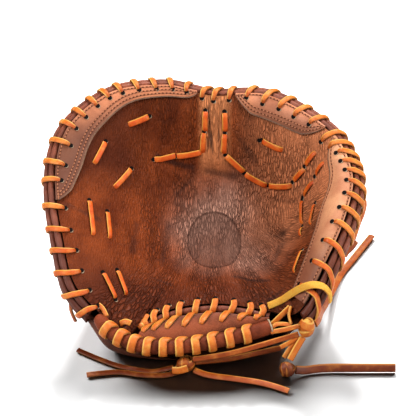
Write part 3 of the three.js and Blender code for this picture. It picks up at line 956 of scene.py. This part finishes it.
THREAD = fibre("thread", (226, 160, 122), (184, 120, 88))
# Painted shade of the groove that the stitches lie in
SEAM_SHADE = fibre("seam groove shade", (134, 78, 56), (100, 56, 38))
# Painted shade inside the punched holes
HOLE_SHADE = fibre("hole shade", (26, 14, 10), (12, 7, 5))
LACE = lace_leather("lace", (248, 112, 24), (255, 184, 76), (190, 66, 8))
# Shaded and lit copies of the rim's lace: the darker one is painted shade low on the rim, the lighter one painted
# light high on it
SHADED_RIM_LACE = lace_leather("shaded low rim lace", (236, 116, 30), (255, 196, 92), (176, 66, 10), 0.6)
LIT_RIM_LACE = lace_leather("lit rim lace", (246, 146, 48), (255, 204, 104), (186, 72, 12), 0.8)
SIDE_LACE = lace_leather("side lace", (214, 108, 30), (252, 176, 80), (150, 62, 12))
TAIL_LACE = lace_leather("tail lace", (184, 86, 20), (238, 160, 68), (122, 48, 8))
HEEL_LACE = lace_leather("heel lace", (234, 130, 40), (255, 200, 100), (176, 76, 14))
# A darker copy of the lace for the tails and knot low by the floor: painted shade
SHADED_FLOOR_LACE = lace_leather("shaded floor lace", (132, 56, 12), (204, 130, 56), (74, 28, 4))


# Camera: at the photograph's angle above the floor, looking along +Y
CAMERA_ANGLE = math.radians(35)
CAMERA_DISTANCE = 1150
CAMERA_LENS = 115.7
CAMERA_SHIFT = (0.0096, 0.0192)
camera_data = bpy.data.cameras.new("camera")
camera_data.sensor_width = 36
camera_data.lens = CAMERA_LENS
camera_data.shift_x, camera_data.shift_y = CAMERA_SHIFT
camera_data.clip_start = 0.05
camera = bpy.data.objects.new("camera", camera_data)
bpy.context.scene.collection.objects.link(camera)
target = from_surface(0, 0, PALM_HEIGHT)
away = Vector((0, -math.cos(CAMERA_ANGLE), math.sin(CAMERA_ANGLE)))
camera.location = target + away * CAMERA_DISTANCE * MM
camera.rotation_euler = (math.pi / 2 - CAMERA_ANGLE, 0, 0)
bpy.context.scene.camera = camera

# Free laces. The flat lace lies lower than the round solid that stands for it.
LACE_DROP = 1.1
CORD_FACTS = {
    # far end, stiffness, lay, way its face looks at the start and at the end, width, lowest, material
    "tail_up": ("bare", "medium", "loose", (0.5, -0.6, 0.6), (-0.3, -0.5, 0.8), 5.8, 2.2, SIDE_LACE),
    "tail_floor": ("bare", "medium", "loose", (0, -0.75, 0.66), (0, -0.8, 0.6), 6.8, 3.6, SHADED_FLOOR_LACE),
    "tail_front": ("bare", "medium", "loose", (0, -0.4, 0.9), (0, -0.3, 0.95), 5, 2, TAIL_LACE),
    "tail_left": ("bare", "medium", "loose", (0, -0.1, 1), (0, -0.1, 1), 4.2, 1.4, SHADED_FLOOR_LACE),
    "tail_left_short": ("bare", "medium", "loose", (0, -0.1, 1), (0, -0.2, 1), 4.6, 1.6, SHADED_FLOOR_LACE),
    "tail_raw": ("bare", "medium", "loose", (0.9, -0.3, 0.3), (-0.2, -0.55, 0.8), 5.8, 1.2, RAW_LACE),
    "tail_thumb": ("bare", "medium", "hanging", (0.8, -0.5, 0.3), (0.7, -0.6, 0.3), 5.2, 1.2, SIDE_LACE),
    "run_upper": ("object", "medium", "taut", (0, -0.8, 0.6), (0, -0.85, 0.5), 4.2, 1.2, TAIL_LACE),
    "run_lower": ("object", "medium", "taut", (0, -0.9, 0.4), (0, -0.85, 0.5), 4.4, 1.2, TAIL_LACE),
}
knot_pieces = {}


def free_lace(name):
    *_, first, last, width, lowest, material = CORD_FACTS[name]
    points = [from_surface(x, y, max(lowest, z - LACE_DROP)) for x, y, z in LACE_ROUTES[name]]
    line = smooth_line(points, 3 * MM)
    first, last = Vector(first).normalized(), Vector(last).normalized()
    facings = [first.lerp(last, index / (len(line) - 1)).normalized() for index in range(len(line))]
    edge = TAIL_EDGE if material in (SIDE_LACE, TAIL_LACE, SHADED_FLOOR_LACE) else LACE_EDGE
    piece = lacing(name + "_lace", [lace_strip(line, facings, width)], material, edge)
    set_in_place(piece, name, slot="lace")
    length = sum((end - start).length for start, end in zip(line, line[1:]))
    return piece, line, length


laces = {name: free_lace(name) for name in CORD_FACTS}


def wound_knot(name, material, turns):
    """A knot of flat lace: bands wound round a core.

    Each turn has its tilt and spin, its start and sweep in degrees, how far it lies off the middle, and
    its width.
    """
    centre, half = KNOTS[name]
    deselect()
    bpy.ops.mesh.primitive_uv_sphere_add(segments=20, ring_count=12, radius=1)
    core = bpy.context.object
    for vertex in core.data.vertices:
        x, y, z = (vertex.co[axis] * half[axis] * KNOT_CORE for axis in range(3))
        vertex.co = from_surface(centre[0] + x, centre[1] + y, centre[2] + z)
    smooth_faces(core)
    core.data.materials.append(material)
    bands = []
    for (tilt, spin), start, sweep, shift, width in turns:
        turned = Matrix.Rotation(math.radians(spin), 3, "Z") @ Matrix.Rotation(math.radians(tilt), 3, "Y")
        line, facings = [], []
        for step in range(WOUND_STEPS + 1):
            angle = math.radians(start + sweep * step / WOUND_STEPS)
            way = turned @ Vector((math.cos(angle), math.sin(angle), 0)) * math.sqrt(1 - shift * shift)
            way = (way + turned @ Vector((0, 0, shift))).normalized()
            size = KNOT_BAND + 0.03 * math.sin(angle * 1.5)
            point = Vector([centre[axis] + way[axis] * size * half[axis] for axis in range(3)])
            line.append(from_surface(point.x, point.y, max(point.z, 1.2)))
            facings.append(Vector([way[axis] / half[axis] for axis in range(3)]).normalized())
        bands.append(lace_strip(line, facings, width, 0.5, 0.5, 4))
    knot = lacing(name, bands, material, TAIL_EDGE if material == SHADED_FLOOR_LACE else LACE_EDGE)
    knot = join_pieces(name + "_bands", [knot, core])
    knot_pieces[name] = set_in_place(knot, name, slot="lace")


wound_knot("thumb_knot", HEEL_LACE, [
    ((14, 0), -175, 280, 0.5, 7.5), ((-12, 0), -185, 280, -0.42, 7.5), ((80, 70), -60, 200, 0.1, 5),
])
wound_knot("heel_knot", TAIL_LACE, [
    ((84, 5), -175, 280, 0.05, 6.5), ((12, 0), -120, 250, 0.5, 6), ((-10, 0), -200, 250, -0.45, 6),
])
wound_knot("floor_knot", SHADED_FLOOR_LACE, [
    ((84, 0), -170, 270, 0.35, 6), ((78, 12), -180, 240, -0.3, 6), ((20, 40), -90, 180, 0.1, 5.4),
])

link_line = smooth_line([from_surface(*point) for point in LACE_ROUTES["knot_link"]], 2.5 * MM)
link_strip = lace_strip(link_line, [Vector((0.3, -0.8, 0.5)).normalized()] * len(link_line))
link = lacing("knot_link_lace", [link_strip], HEEL_LACE, LACE_EDGE)
knot_pieces["knot_link"] = set_in_place(link, "knot_link", slot="lace")

# Knots that go with a lace
CARRIED = {
    "tail_up": ["thumb_knot"],
    "tail_floor": ["floor_knot", "knot_link"],
    "tail_front": ["heel_knot"],
}
for name, (piece, line, length) in laces.items():
    far_end, stiffness, lay = CORD_FACTS[name][:3]
    on_it = [knot_pieces[knot] for knot in CARRIED.get(name, [])]
    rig.cord(
        piece, exit=line[0], length=length, diameter=LACE_WIDTH * MM, far_end=far_end,
        stiffness=stiffness, lay=lay, path=line, with_pieces=on_it,
    )


# Palm
def crease_depth(u, v):
    """Depth of the creases there, less the soft bank beside each."""
    depth = 0
    point = Vector((u, v))
    for u1, v1, u2, v2, width, deep in CREASES:
        start = Vector((u1, v1))
        run = Vector((u2, v2)) - start
        part = max(0, min(1, (point - start).dot(run) / run.length_squared))
        waver = 1.6 * noise.noise(Vector((u / 14, v / 14, width)))
        distance = (point - start - run * part).length + waver
        fade = smooth_step(part, 0, 0.18) * smooth_step(1 - part, 0, 0.18)
        valley = math.exp(-((distance / width) ** 2))
        bank = math.exp(-(((distance - 2 * width) / width) ** 2))
        depth += deep * fade * (valley - 0.45 * bank)
    return depth


def palm_relief(place, ring):
    """Height of the palm's softness there, with its creases and the pressed disc."""
    point = palm_point(place, ring)
    u, v = point.x, point.y
    soft = 0.55 * noise.noise(Vector((u / 30, v / 30, 2))) + 0.22 * noise.noise(Vector((u / 9, v / 13, 5)))
    inside = 1 - smooth_step(ring, 0.8, 0.92)
    disc = math.hypot(u - DISC[0], (v - DISC[1]) * DISC_FLAT)
    groove = 0.35 * math.exp(-(((disc - DISC_RADIUS) / 0.9) ** 2))
    groove += 0.25 * math.exp(-(((disc - 0.86 * DISC_RADIUS) / 0.7) ** 2))
    pressed = 0.25 * (1 - smooth_step(disc, DISC_RADIUS - 1, DISC_RADIUS))
    return inside * (soft - crease_depth(u, v)) - groove - pressed


# How far the skin stands above the padding, its rows of faces, and where a place is averaged round itself
PALM_SKIN = 1.15
PALM_ROWS = 84
EASE_SHARES = (-1, -0.6, -0.2, 0.2, 0.6, 1)


def settled_point(place, ring):
    """The palm's surface, with the corners of its outline eased out toward the pocket."""
    point = palm_point(place, ring)
    corner = math.exp(-(((place - 24) / 1.1) ** 2))
    ease = 1 - smooth_step(ring, 0.5 + 0.3 * corner, 0.9 + 0.09 * corner)
    if ease == 0:
        return point
    mean = Vector()
    reach = 0.9 + 1.4 * (1 - smooth_step(ring, 0.1, 0.65))
    for share in EASE_SHARES:
        mean += palm_point(place + share * reach, ring) / len(EASE_SHARES)
    return point.lerp(mean, ease)


def palm_skin(along, across):
    place = along * len(OUTLINE)
    if across < 0.001:
        return from_palm(POCKET + Vector((0, 0, PALM_SKIN)))
    lift = PALM_SKIN + max(-0.9, palm_relief(place, across)) * smooth_step(across, 0, 0.05)
    return from_palm(settled_point(place, across) + palm_normal(place, across) * lift)


palm = shaped_grid("palm_leather", len(OUTLINE) * 12, PALM_ROWS, palm_skin)
edit_whole(palm, merge_points(0.02), face_outwards)
# Depth of the creases, kept on the skin for the painted shade in them
creased = palm.data.attributes.new("crease", "FLOAT", "POINT")
for vertex, value in zip(palm.data.vertices, creased.data):
    spot = to_palm(vertex.co)
    value.value = max(0, crease_depth(spot.x, spot.y))
dress(palm, PALM, PALM_EDGE)
thicken(palm, 1, 0, -1)
set_in_place(palm, slot="palm")


def push_out(piece, lift_at):
    """Moves each point along its normal by lift_at(point) millimetres, never below the floor."""
    moved = [vertex.co + vertex.normal * (lift_at(vertex.co) * MM) for vertex in piece.data.vertices]
    for vertex, point in zip(piece.data.vertices, moved):
        vertex.co = (point.x, point.y, max(point.z, 0))


def merged_copy(node, name):
    """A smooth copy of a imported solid, with its loose triangles joined."""
    piece = frame["nodes"][node].copy()
    piece.data = piece.data.copy()
    piece.name = name
    # The copy is a new piece, so the marks that say which solid it was come off it
    for key in list(piece.keys()):
        del piece[key]
    piece.parent = None
    bpy.context.scene.collection.objects.link(piece)
    edit_whole(piece, merge_points(0.02), bpy.ops.mesh.tris_convert_to_quads)
    return piece


# How far the padding lies under the surface of its solid
PAD_SINK = 1.9
pad = merged_copy("palm_shell", "palm_pad")
push_out(pad, lambda point: -PAD_SINK)
smooth_faces(pad, 60)
set_in_place(dress(pad, PAD_FELT), "palm_shell", slot="palm")
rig.padded(pad, fill=0.9)

back = merged_copy("back_shell", "back_leather")
rounding = back.modifiers.new("rounding", "SUBSURF")
rounding.levels = 2
rounding.render_levels = 2
finish_modifiers(back)


# The back's lip bellies out under the left end of the heel
BELLY = from_surface(-86, -86, 14)


def back_softness(point):
    soft = 1.1 * noise.noise(point * 28) + 0.4 * noise.noise(point * 80)
    belly = 5 * math.exp(-(((point - BELLY).length / (26 * MM)) ** 2))
    return belly + soft * smooth_step(point.z / MM, 2, 16)


push_out(back, back_softness)
smooth_faces(back, 60)
set_in_place(dress(back, BACK), "back_shell", slot="back")


# Rolls of the rim, drawn in where a lace crosses them
def drawn_in(place, wraps, reach):
    """How far leather is squeezed under a lace, from 1 at the lace to 0 out of its reach."""
    nearest = min(abs(place - wrap) for wrap in wraps)
    return math.exp(-((nearest / reach) ** 2))


wrap_places = [(start + end) / 2 for start, _, end in RIM_WRAPS]
roll_pieces = []
for name, (radius, out, drop) in ROLLS.items():
    def roll_skin(along, angle, radius=radius, out=out, drop=drop):
        place = RIM_START + (RIM_END - RIM_START) * along
        full = radius * (1.04 - 0.15 * drawn_in(place, wrap_places, 0.09))
        wobble = 0.12 * noise.noise(Vector((place * 2.2, angle, radius)))
        point = edge_point(place, out + full * math.cos(angle), full * math.sin(angle) - drop + wobble)
        return from_palm(point)

    roll = tube(name + "_leather", 300, 14, roll_skin)
    roll_pieces.append(set_in_place(dress(roll, BINDING), name, slot="binding"))


# Patches, each with a pale cut edge and rows of stitching
def patch_row(rows, along):
    """Place and inner ring of a patch, from 0 at its first end to 1 at its last."""
    return along_rows(rows, along * (len(rows) - 1), False)


# Ring of a patch's outer edge, its rows of faces, and the width of its pale edge by ring
PATCH_OUTER = 1.004
PATCH_ROWS = 12
PALE_RING = 0.0085


def patch_piece(name, rows, material, plump):
    """A patch whose first row of faces is the pale skived edge toward the pocket."""
    columns = len(rows) * 8

    def patch_skin(along, across):
        place, inner = patch_row(rows, along)
        first = inner + PALE_RING
        step = across * PATCH_ROWS
        ring = inner + PALE_RING * step
        if step > 1:
            ring = first + (PATCH_OUTER - first) * (step - 1) / (PATCH_ROWS - 1)
        swell = plump * math.sin(math.pi * across) + 0.25 * noise.noise(Vector((place * 3, ring * 16, 1)))
        return from_palm(above_palm(place, min(ring, PATCH_OUTER), PATCH_LIFT + PATCH_WALL / 2 + swell))

    piece = dress(shaped_grid(name + "_leather", columns, PATCH_ROWS, patch_skin), material, PATCH_EDGE)
    for face in piece.data.polygons:
        if face.index < columns:
            face.material_index = 1
    return set_in_place(thicken(piece, PATCH_WALL, 0.3), name, slot="patch")


patch_pieces = [
    patch_piece("patch_finger", PATCHES["patch_finger"], PATCH, 0.5),
    patch_piece("patch_web", PATCHES["patch_web"], PATCH, 0.5),
    patch_piece("patch_thumb", PATCHES["patch_thumb"], THUMB_PATCH, 1.2),
]


def surface_trees(pieces):
    trees = []
    for piece in pieces:
        points = [vertex.co for vertex in piece.data.vertices]
        trees.append(BVHTree.FromPolygons(points, [face.vertices for face in piece.data.polygons]))
    return trees


def surface_finder(pieces):
    """Finds what a line meets first: the point, the way its surface looks and how far it is."""
    trees = surface_trees(pieces)

    def find(origin, direction):
        best = None
        for tree in trees:
            hit, normal, _, distance = tree.ray_cast(origin, direction)
            if hit and (best is None or distance < best[2]):
                best = (hit, normal if normal.dot(direction) < 0 else -normal, distance)
        return best

    return find


# The skin is looked for from high above the pocket, or from close above its edge
find_skin = surface_finder([palm] + patch_pieces)
FROM_ABOVE = 120
FROM_NEAR = 9


def on_palm(u, v):
    return find_skin(from_palm((u, v, FROM_ABOVE)), TILT @ Vector((0, 0, -1)))[:2]


def near_edge(place, ring):
    """The skin's point there, the palm's normal and the skin's height above the palm in millimetres."""
    normal = TILT @ palm_normal(place, ring)
    hit, _, distance = find_skin(from_palm(above_palm(place, ring, FROM_NEAR)), -normal)
    return hit, normal, FROM_NEAR - distance / MM


# Stitches of the patches: one modelled, the rest copied along each row
deselect()
bpy.ops.mesh.primitive_uv_sphere_add(segments=6, ring_count=5, radius=1)
stitch = bpy.context.object
stitch_points = [vertex.co.copy() for vertex in stitch.data.vertices]
stitch_faces = [tuple(face.vertices) for face in stitch.data.polygons]
bpy.data.objects.remove(stitch)
STITCH_LENGTH = 2.5
STITCH_GAP = 0.8
STITCH_THICK = 0.75
SEAM_WIDTH = 1.1


def stitch_row(points, facings):
    """Stitches laid end to end along a line of points in metres."""
    vertices, faces = [], []
    need = 0.0
    for index in range(len(points) - 1):
        run = points[index + 1] - points[index]
        length = run.length
        while need < length:
            centre = points[index] + run * (need / length)
            along = run.normalized()
            side = along.cross(facings[index]).normalized()
            face = side.cross(along)
            base = len(vertices)
            for point in stitch_points:
                vertices.append(
                    centre
                    + along * (point.x * STITCH_LENGTH / 2 * MM)
                    + side * (point.y * STITCH_THICK * MM)
                    + face * (point.z * STITCH_THICK * 0.8 * MM)
                )
            faces += [tuple(base + corner for corner in face_corners) for face_corners in stitch_faces]
            need += (STITCH_LENGTH + STITCH_GAP) * MM
        need -= length
    return vertices, faces


def stitching(name, rows, offsets):
    """Rows of stitches with their seams, each by the edge that it follows and its way in from it. The seams are dark
    strips of painted shade for the grooves that the stitches lie in.

    A row stops where the patch is too narrow for it.
    """
    vertices, faces, seams = [], [], []
    count = len(rows) * 12
    for from_inner, shift in offsets:
        points, facings = [], []
        for step in range(count + 1):
            place, inner = patch_row(rows, step / count)
            ring = inner + shift if from_inner else 1 - shift
            if ring > 0.992 or ring < inner + 0.012:
                continue
            point, facing, _ = near_edge(place, ring)
            points.append(point + facing * (0.2 * MM))
            facings.append(facing)
        bed = [point - facing * (0.4 * MM) for point, facing in zip(points, facings)]
        seams.append(lace_strip(bed, facings, SEAM_WIDTH))
        row_vertices, row_faces = stitch_row(points, facings)
        base = len(vertices)
        vertices += row_vertices
        faces += [tuple(base + corner for corner in corners) for corners in row_faces]
    mesh = bpy.data.meshes.new(name)
    mesh.from_pydata(vertices, [], faces)
    piece = bpy.data.objects.new(name, mesh)
    bpy.context.scene.collection.objects.link(piece)
    smooth_faces(piece, 60)
    set_in_place(dress(piece, THREAD), slot="patch")
    seam = dress(join_pieces(name + "_seam", seams), SEAM_SHADE)
    set_in_place(thicken(seam, 0.3, 0), slot="patch")


stitching("finger_stitching", PATCHES["patch_finger"], [(True, 0.024), (True, 0.046), (False, 0.01)])
stitching("web_stitching", PATCHES["patch_web"], [(True, 0.024), (True, 0.046), (False, 0.01)])
stitching("thumb_stitching", PATCHES["patch_thumb"], [(True, 0.024), (False, 0.012)])


# Lace over the rim, drawn down onto the rolls; its middle stands this far off them
roll_trees = surface_trees(roll_pieces)
LACE_STAND = 1.1 * MM


def drawn_down(point):
    """The point brought to the height at which a lace lies on the rolls, if it is outside them."""
    found = [tree.find_nearest(point) for tree in roll_trees]
    hit, normal, _, distance = min(found, key=lambda nearest: nearest[3])
    if distance < LACE_STAND or normal.dot(point - hit) < 0:
        return point
    return hit + (point - hit) * ((LACE_STAND + 0.3 * (distance - LACE_STAND)) / distance)


def evened(line, times):
    """The line with each inner point drawn halfway to the middle of its neighbours, some times over."""
    for _ in range(times):
        inner = [(before + point * 2 + after) / 4 for before, point, after in zip(line, line[1:], line[2:])]
        line = [line[0]] + inner + [line[-1]]
    return line


# Way of a lace over the three rolls: how far out of the palm's edge and how far above it. Between the two
# places of HIGH_RIM the lace is high on the rim and painted lighter, as lit; elsewhere it is painted darker, as
# shaded.
HIGH_RIM = (2.4, 15.5)
WRAP_PROFILE = [(3.6, 2.4), (7.4, 1), (10.6, -1.8), (12.4, -5.6), (12.6, -10.6), (11.7, -14.6), (8.8, -17.2)]
wraps = {"low": [], "high": []}
rim_holes = []
for start, ring, end in RIM_WRAPS:
    normal = palm_normal(start, ring)
    height = near_edge(start, ring)[2]
    points = [
        (above_palm(start, ring - 0.01, height - 1.4), normal),
        (above_palm(start, ring + 0.008, height + 0.8), normal),
    ]
    if ring < 0.97:
        edge_ring = (1 + ring) / 2
        edge_height = near_edge(start, edge_ring)[2] + 1.3
        points.append((above_palm(start, edge_ring, edge_height), palm_normal(start, edge_ring)))
    for index, (out, rise) in enumerate(WRAP_PROFILE):
        part = (index + 1) / len(WRAP_PROFILE)
        place = start + (end - start) * min(1, part * 1.3)
        _, outward, _, _ = edge_frame(place)
        ahead = WRAP_PROFILE[min(index + 1, len(WRAP_PROFILE) - 1)]
        behind = WRAP_PROFILE[max(index - 1, 0)]
        facing = outward * (behind[1] - ahead[1]) + Vector((0, 0, ahead[0] - behind[0]))
        points.append((edge_point(place, out, rise), facing.normalized()))
    line, facings = turned_path([tuple(point) + tuple(facing) for point, facing in points])
    from_hole = len(line) // 3
    line = evened(line[:from_hole] + [drawn_down(point) for point in line[from_hole:]], 3)
    strip = lace_strip(line, facings, RIM_WIDTH, 0.55, 1, 9)
    wraps["high" if HIGH_RIM[0] <= start <= HIGH_RIM[1] else "low"].append(strip)
    rim_holes.append(near_edge(start, ring - 0.012)[:2])
# The high wraps take the lit copy of the lace, the low ones the shaded copy
set_in_place(lacing("rim_lacing", wraps["high"], LIT_RIM_LACE, LACE_EDGE), slot="lace")
set_in_place(lacing("rim_lacing_low", wraps["low"], SHADED_RIM_LACE, LACE_EDGE), slot="lace")

# Lace stitches of the palm, sunk into their holes at both ends
palm_holes = [on_palm(u, v) for u, v in OPEN_HOLES]
stitch_strips = []
for u1, v1, u2, v2, width in PALM_STITCHES:
    start, end = Vector((u1, v1)), Vector((u2, v2))
    run = (end - start).normalized()
    count = max(6, round((end - start).length / 1.8))
    line, facings = [], []
    for step in range(count + 1):
        hit, normal = on_palm(*(start + (end - start) * (step / count)))
        from_end = min(step, count - step) / count * (end - start).length
        lift = -1.4 + 2.4 * smooth_step(from_end, 0, 2.2)
        line.append(hit + normal * (lift * MM))
        facings.append(normal)
    stitch_strips.append(lace_strip(line, facings, width, 0.8, 0.8, 2))
    palm_holes.append(on_palm(*(start - run * 0.9)))
set_in_place(lacing("palm_lacing", stitch_strips, LACE, LACE_EDGE), slot="lace")


LOWER_RIGHT = Vector((0.8, -0.6, -0.3))


def hole_piece(name, spots, radius):
    """Punched holes: a dark disc of painted shade for the hollow, with its pale cut edge showing on the lower right.
    """
    dark, pale = [], []
    for hit, normal in spots:
        turn = normal.to_track_quat("Z", "Y").to_matrix()
        aside = (LOWER_RIGHT - normal * normal.dot(LOWER_RIGHT)).normalized()
        for group, shift, lift, size in ((dark, 0, 0.3, 1), (pale, 0.45, 0.15, 0.9)):
            deselect()
            bpy.ops.mesh.primitive_circle_add(vertices=14, radius=radius * size * MM, fill_type="TRIFAN")
            disc = bpy.context.object
            for vertex in disc.data.vertices:
                vertex.co = hit + turn @ vertex.co + (aside * (shift * radius) + normal * lift) * MM
            group.append(disc)
    for group, kind, material in ((dark, "_dark", HOLE_SHADE), (pale, "_edge", RAW_EDGE)):
        piece = dress(join_pieces(name + kind, group), material, material)
        set_in_place(thicken(piece, 0.4, 0), slot="palm")


hole_piece("palm_holes", palm_holes, PALM_HOLE)
hole_piece("rim_holes", rim_holes, RIM_HOLE)


# Heel: piping, pad, roll and their laces
PIPING_LAST = 23.2


def piping_skin(along, angle):
    radius, out, drop = PIPING
    place = HEEL_START + (PIPING_LAST - HEEL_START) * along
    full = radius * (1 - 0.1 * drawn_in(place, HEEL_LACES, 0.12))
    return from_palm(edge_point(place, out + full * math.cos(angle), full * math.sin(angle) - drop))


piping = tube("heel_piping_leather", 150, 14, piping_skin)
set_in_place(dress(piping, PIPING_LEATHER), "heel_piping", slot="binding")


def pad_point(along, across, side):
    """The heel's pad: across 0 is at the piping and 1 at the roll; side is 1 for its upper face."""
    place = HEEL_START + (PAD_END - HEEL_START) * along
    radius, out, drop = PIPING
    inner = edge_point(place, out + radius + 0.2, -drop)
    centre = roll_point(place - HEEL_START)
    outer = centre + (inner - centre).normalized() * (ROLL_RADIUS + 0.4)
    crown = 4 * across * (1 - across)
    half = (3 + 3 * crown) / 2
    puff = 0.5 * crown * noise.noise(Vector((place * 2.4, across * 2, 3)))
    return inner.lerp(outer, across) + Vector((0, 0, 5 * crown + side * half + puff))


def pad_skin(along, angle):
    across = 0.5 - 0.5 * math.cos(angle)
    side = 1 if angle < math.pi else -1
    rounding_share = abs(math.sin(angle)) ** 0.5
    return from_palm(pad_point(along, across, side * rounding_share))


heel_pad = dress(tube("heel_pad_suede", 90, 24, pad_skin), SUEDE)
set_in_place(heel_pad, "heel_pad", slot="heel_suede")
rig.padded(heel_pad, fill=0.7)

LAST_ROLL = len(ROLL_ROWS) - 1


def heel_roll_skin(along, angle):
    place = LAST_ROLL * along
    full = ROLL_RADIUS * (0.97 - 0.07 * drawn_in(place, HEEL_WRAPS, 0.18))
    full *= 0.4 + 0.6 * math.sqrt(min(1, (LAST_ROLL - place) / 0.5))
    full += 0.15 * noise.noise(Vector((place * 3, angle, 7)))
    return from_palm(around_roll(place, angle, full))


roll = tube("heel_roll_leather", 150, 20, heel_roll_skin)
set_in_place(dress(roll, HEEL_LEATHER), "heel_roll", slot="binding")


def band_round_roll(place, first, sweep, lift, hook):
    """A line round the heel's roll. It starts to the right of its place, where the last wrap ends."""
    line, facings = [], []
    for step in range(WOUND_STEPS + 1):
        part = step / WOUND_STEPS
        angle = math.radians(first + sweep * part)
        sunk = 1.1 * (1 - smooth_step(part, 0, 0.06)) + 0.9 * smooth_step(part, 0.94, 1)
        radius = ROLL_RADIUS + lift - sunk
        where = max(0.02, place - hook * (1 - smooth_step(part, 0, 0.2)))
        line.append(from_palm(around_roll(where, angle, radius)))
        _, _, across = roll_frame(where)
        facings.append(TILT @ (across * math.cos(angle) + Vector((0, 0, math.sin(angle)))))
    return line, facings


heel_wraps = []
for place in HEEL_WRAPS:
    line, facings = band_round_roll(place, 22, 285, 0.6, 0.24)
    heel_wraps.append(lace_strip(line, facings, WRAP_WIDTH, 0.5, 0.8, 7))
set_in_place(lacing("heel_roll_lacing", heel_wraps, HEEL_LACE, LACE_EDGE), slot="lace")
cut_edge = lace_strip(*band_round_roll(0.02, 0, 360, -0.2, 0), 0.9)
cut_edge = thicken(dress(cut_edge, RAW_EDGE), 0.7, 0)
cut_edge.name = "heel_roll_cut_edge"
set_in_place(cut_edge, slot="binding")

heel_holes, heel_laces, heel_drops = [], [], []
LEAN = 0.1
DROP_STEPS = 12
upward = Vector((0, 0, 1))
for place in HEEL_LACES:
    _, outward, _, _ = edge_frame(place)
    points = [
        (above_palm(place, 0.95, -0.6), palm_normal(place, 0.95)),
        (above_palm(place, 0.965, 2.1), palm_normal(place, 0.96)),
        (edge_point(place + LEAN * 0.3, 0.8, 2.2), upward),
        (edge_point(place + LEAN * 0.6, 3.8, 2), upward + outward * 0.2),
        (edge_point(place + LEAN, 6.8, 0.3), upward + outward),
        (edge_point(place + LEAN, 7.9, -2.6), outward),
    ]
    rows = [tuple(point) + tuple(facing.normalized()) for point, facing in points]
    heel_laces.append(lace_strip(*turned_path(rows), HEEL_WIDTH, 0.7, 0.8, 5))
    heel_holes.append(near_edge(place, 0.942)[:2])
    start_part = (place + 0.15 - HEEL_START) / (PAD_END - HEEL_START)
    if start_part > 0.93:
        continue
    line, facings = [], []
    for step in range(DROP_STEPS + 1):
        part = step / DROP_STEPS
        along = start_part + 0.06 * part
        across = 0.02 + 0.56 * part
        base = pad_point(along, across, 1)
        ahead = pad_point(along + 0.01, across, 1)
        beyond = pad_point(along, across + 0.04, 1)
        facing = (beyond - base).cross(ahead - base).normalized()
        if facing.z < 0:
            facing.negate()
        lift = -0.6 + 1.7 * smooth_step(part, 0, 0.15) - 1.6 * smooth_step(part, 0.88, 1)
        line.append(from_palm(base + facing * lift))
        facings.append(TILT @ facing)
    heel_drops.append(lace_strip(line, facings, DROP_WIDTH, 0.5, 0.6, 5))
set_in_place(lacing("heel_edge_lacing", heel_laces, HEEL_LACE, LACE_EDGE), slot="lace")
set_in_place(lacing("heel_pad_lacing", heel_drops, HEEL_LACE, LACE_EDGE), slot="lace")
hole_piece("heel_holes", heel_holes, HEEL_HOLE)

for kind, material in (("gold", HEEL_LACE), ("brown", TAIL_LACE)):
    strands = []
    for points, width, facing, colouring in STRANDS:
        if colouring == kind:
            line = smooth_line([from_surface(*point) for point in points], 2 * MM)
            strands.append(lace_strip(line, [Vector(facing).normalized()] * len(line), width))
    set_in_place(lacing("strands_" + kind, strands, material, LACE_EDGE), slot="lace")

# Floor and light
deselect()
bpy.ops.mesh.primitive_plane_add(size=6, location=(0, 0, 0))
floor = bpy.context.object
floor.name = "floor"
floor_material, _, floor_shader, _ = new_material("pale floor")
floor_shader.inputs["Base Color"].default_value = (0.6, 0.6, 0.6, 1)
floor_shader.inputs["Roughness"].default_value = 0.7
floor.data.materials.append(floor_material)
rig.stage(floor)


# Lights in two groups. Those onto the floor alone come from behind and leave the mitt's shadow dark.
floor_group = bpy.data.collections.new("floor alone")
mitt_group = bpy.data.collections.new("all but the floor")
for group, state in ((floor_group, "INCLUDE"), (mitt_group, "EXCLUDE")):
    group.objects.link(floor)
    group.collection_objects[0].light_linking.link_state = state


def soft_sun(name, group, place, softness, power):
    """A distant soft light that shines from a place toward the mitt, onto one group."""
    data = bpy.data.lights.new(name, "SUN")
    data.energy = power
    data.angle = math.radians(softness)
    light = bpy.data.objects.new(name, data)
    bpy.context.scene.collection.objects.link(light)
    light.location = place
    light.rotation_euler = (-Vector(place)).to_track_quat("-Z", "Y").to_euler()
    light.light_linking.receiver_collection = group


soft_sun("floor right", floor_group, (0.28, 0.8, 0.6), 24, 4.6)
soft_sun("floor back", floor_group, (-0.05, 0.85, 0.575), 8, 5.4)
soft_sun("floor left", floor_group, (-0.62, 0.66, 0.54), 28, 5.8)
soft_sun("top", mitt_group, (0.1, 0.5, 0.85), 20, 3)
soft_sun("front left", mitt_group, (-0.7, -0.3, 0.7), 30, 2.9)
soft_sun("front right", mitt_group, (0.75, -0.35, 0.62), 36, 2.7)

# The room itself gives hardly any light, so that the shadow stays deep
world = bpy.data.worlds.new("studio")
bpy.context.scene.world = world
world.use_nodes = True
room_light = world.node_tree.nodes["Background"].inputs
room_light["Color"].default_value = (1, 1, 1, 1)
room_light["Strength"].default_value = 0.01
view = bpy.context.scene.view_settings
view.view_transform = "Standard"
view.exposure = 0.15
view.gamma = 0.87

low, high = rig.bounds()
sizes = {
    "cad": [list(corner) for corner in cad_box],
    "visual": [list(low), list(high)],
}
with open("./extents.json", "w") as size_file:
    json.dump(sizes, size_file)
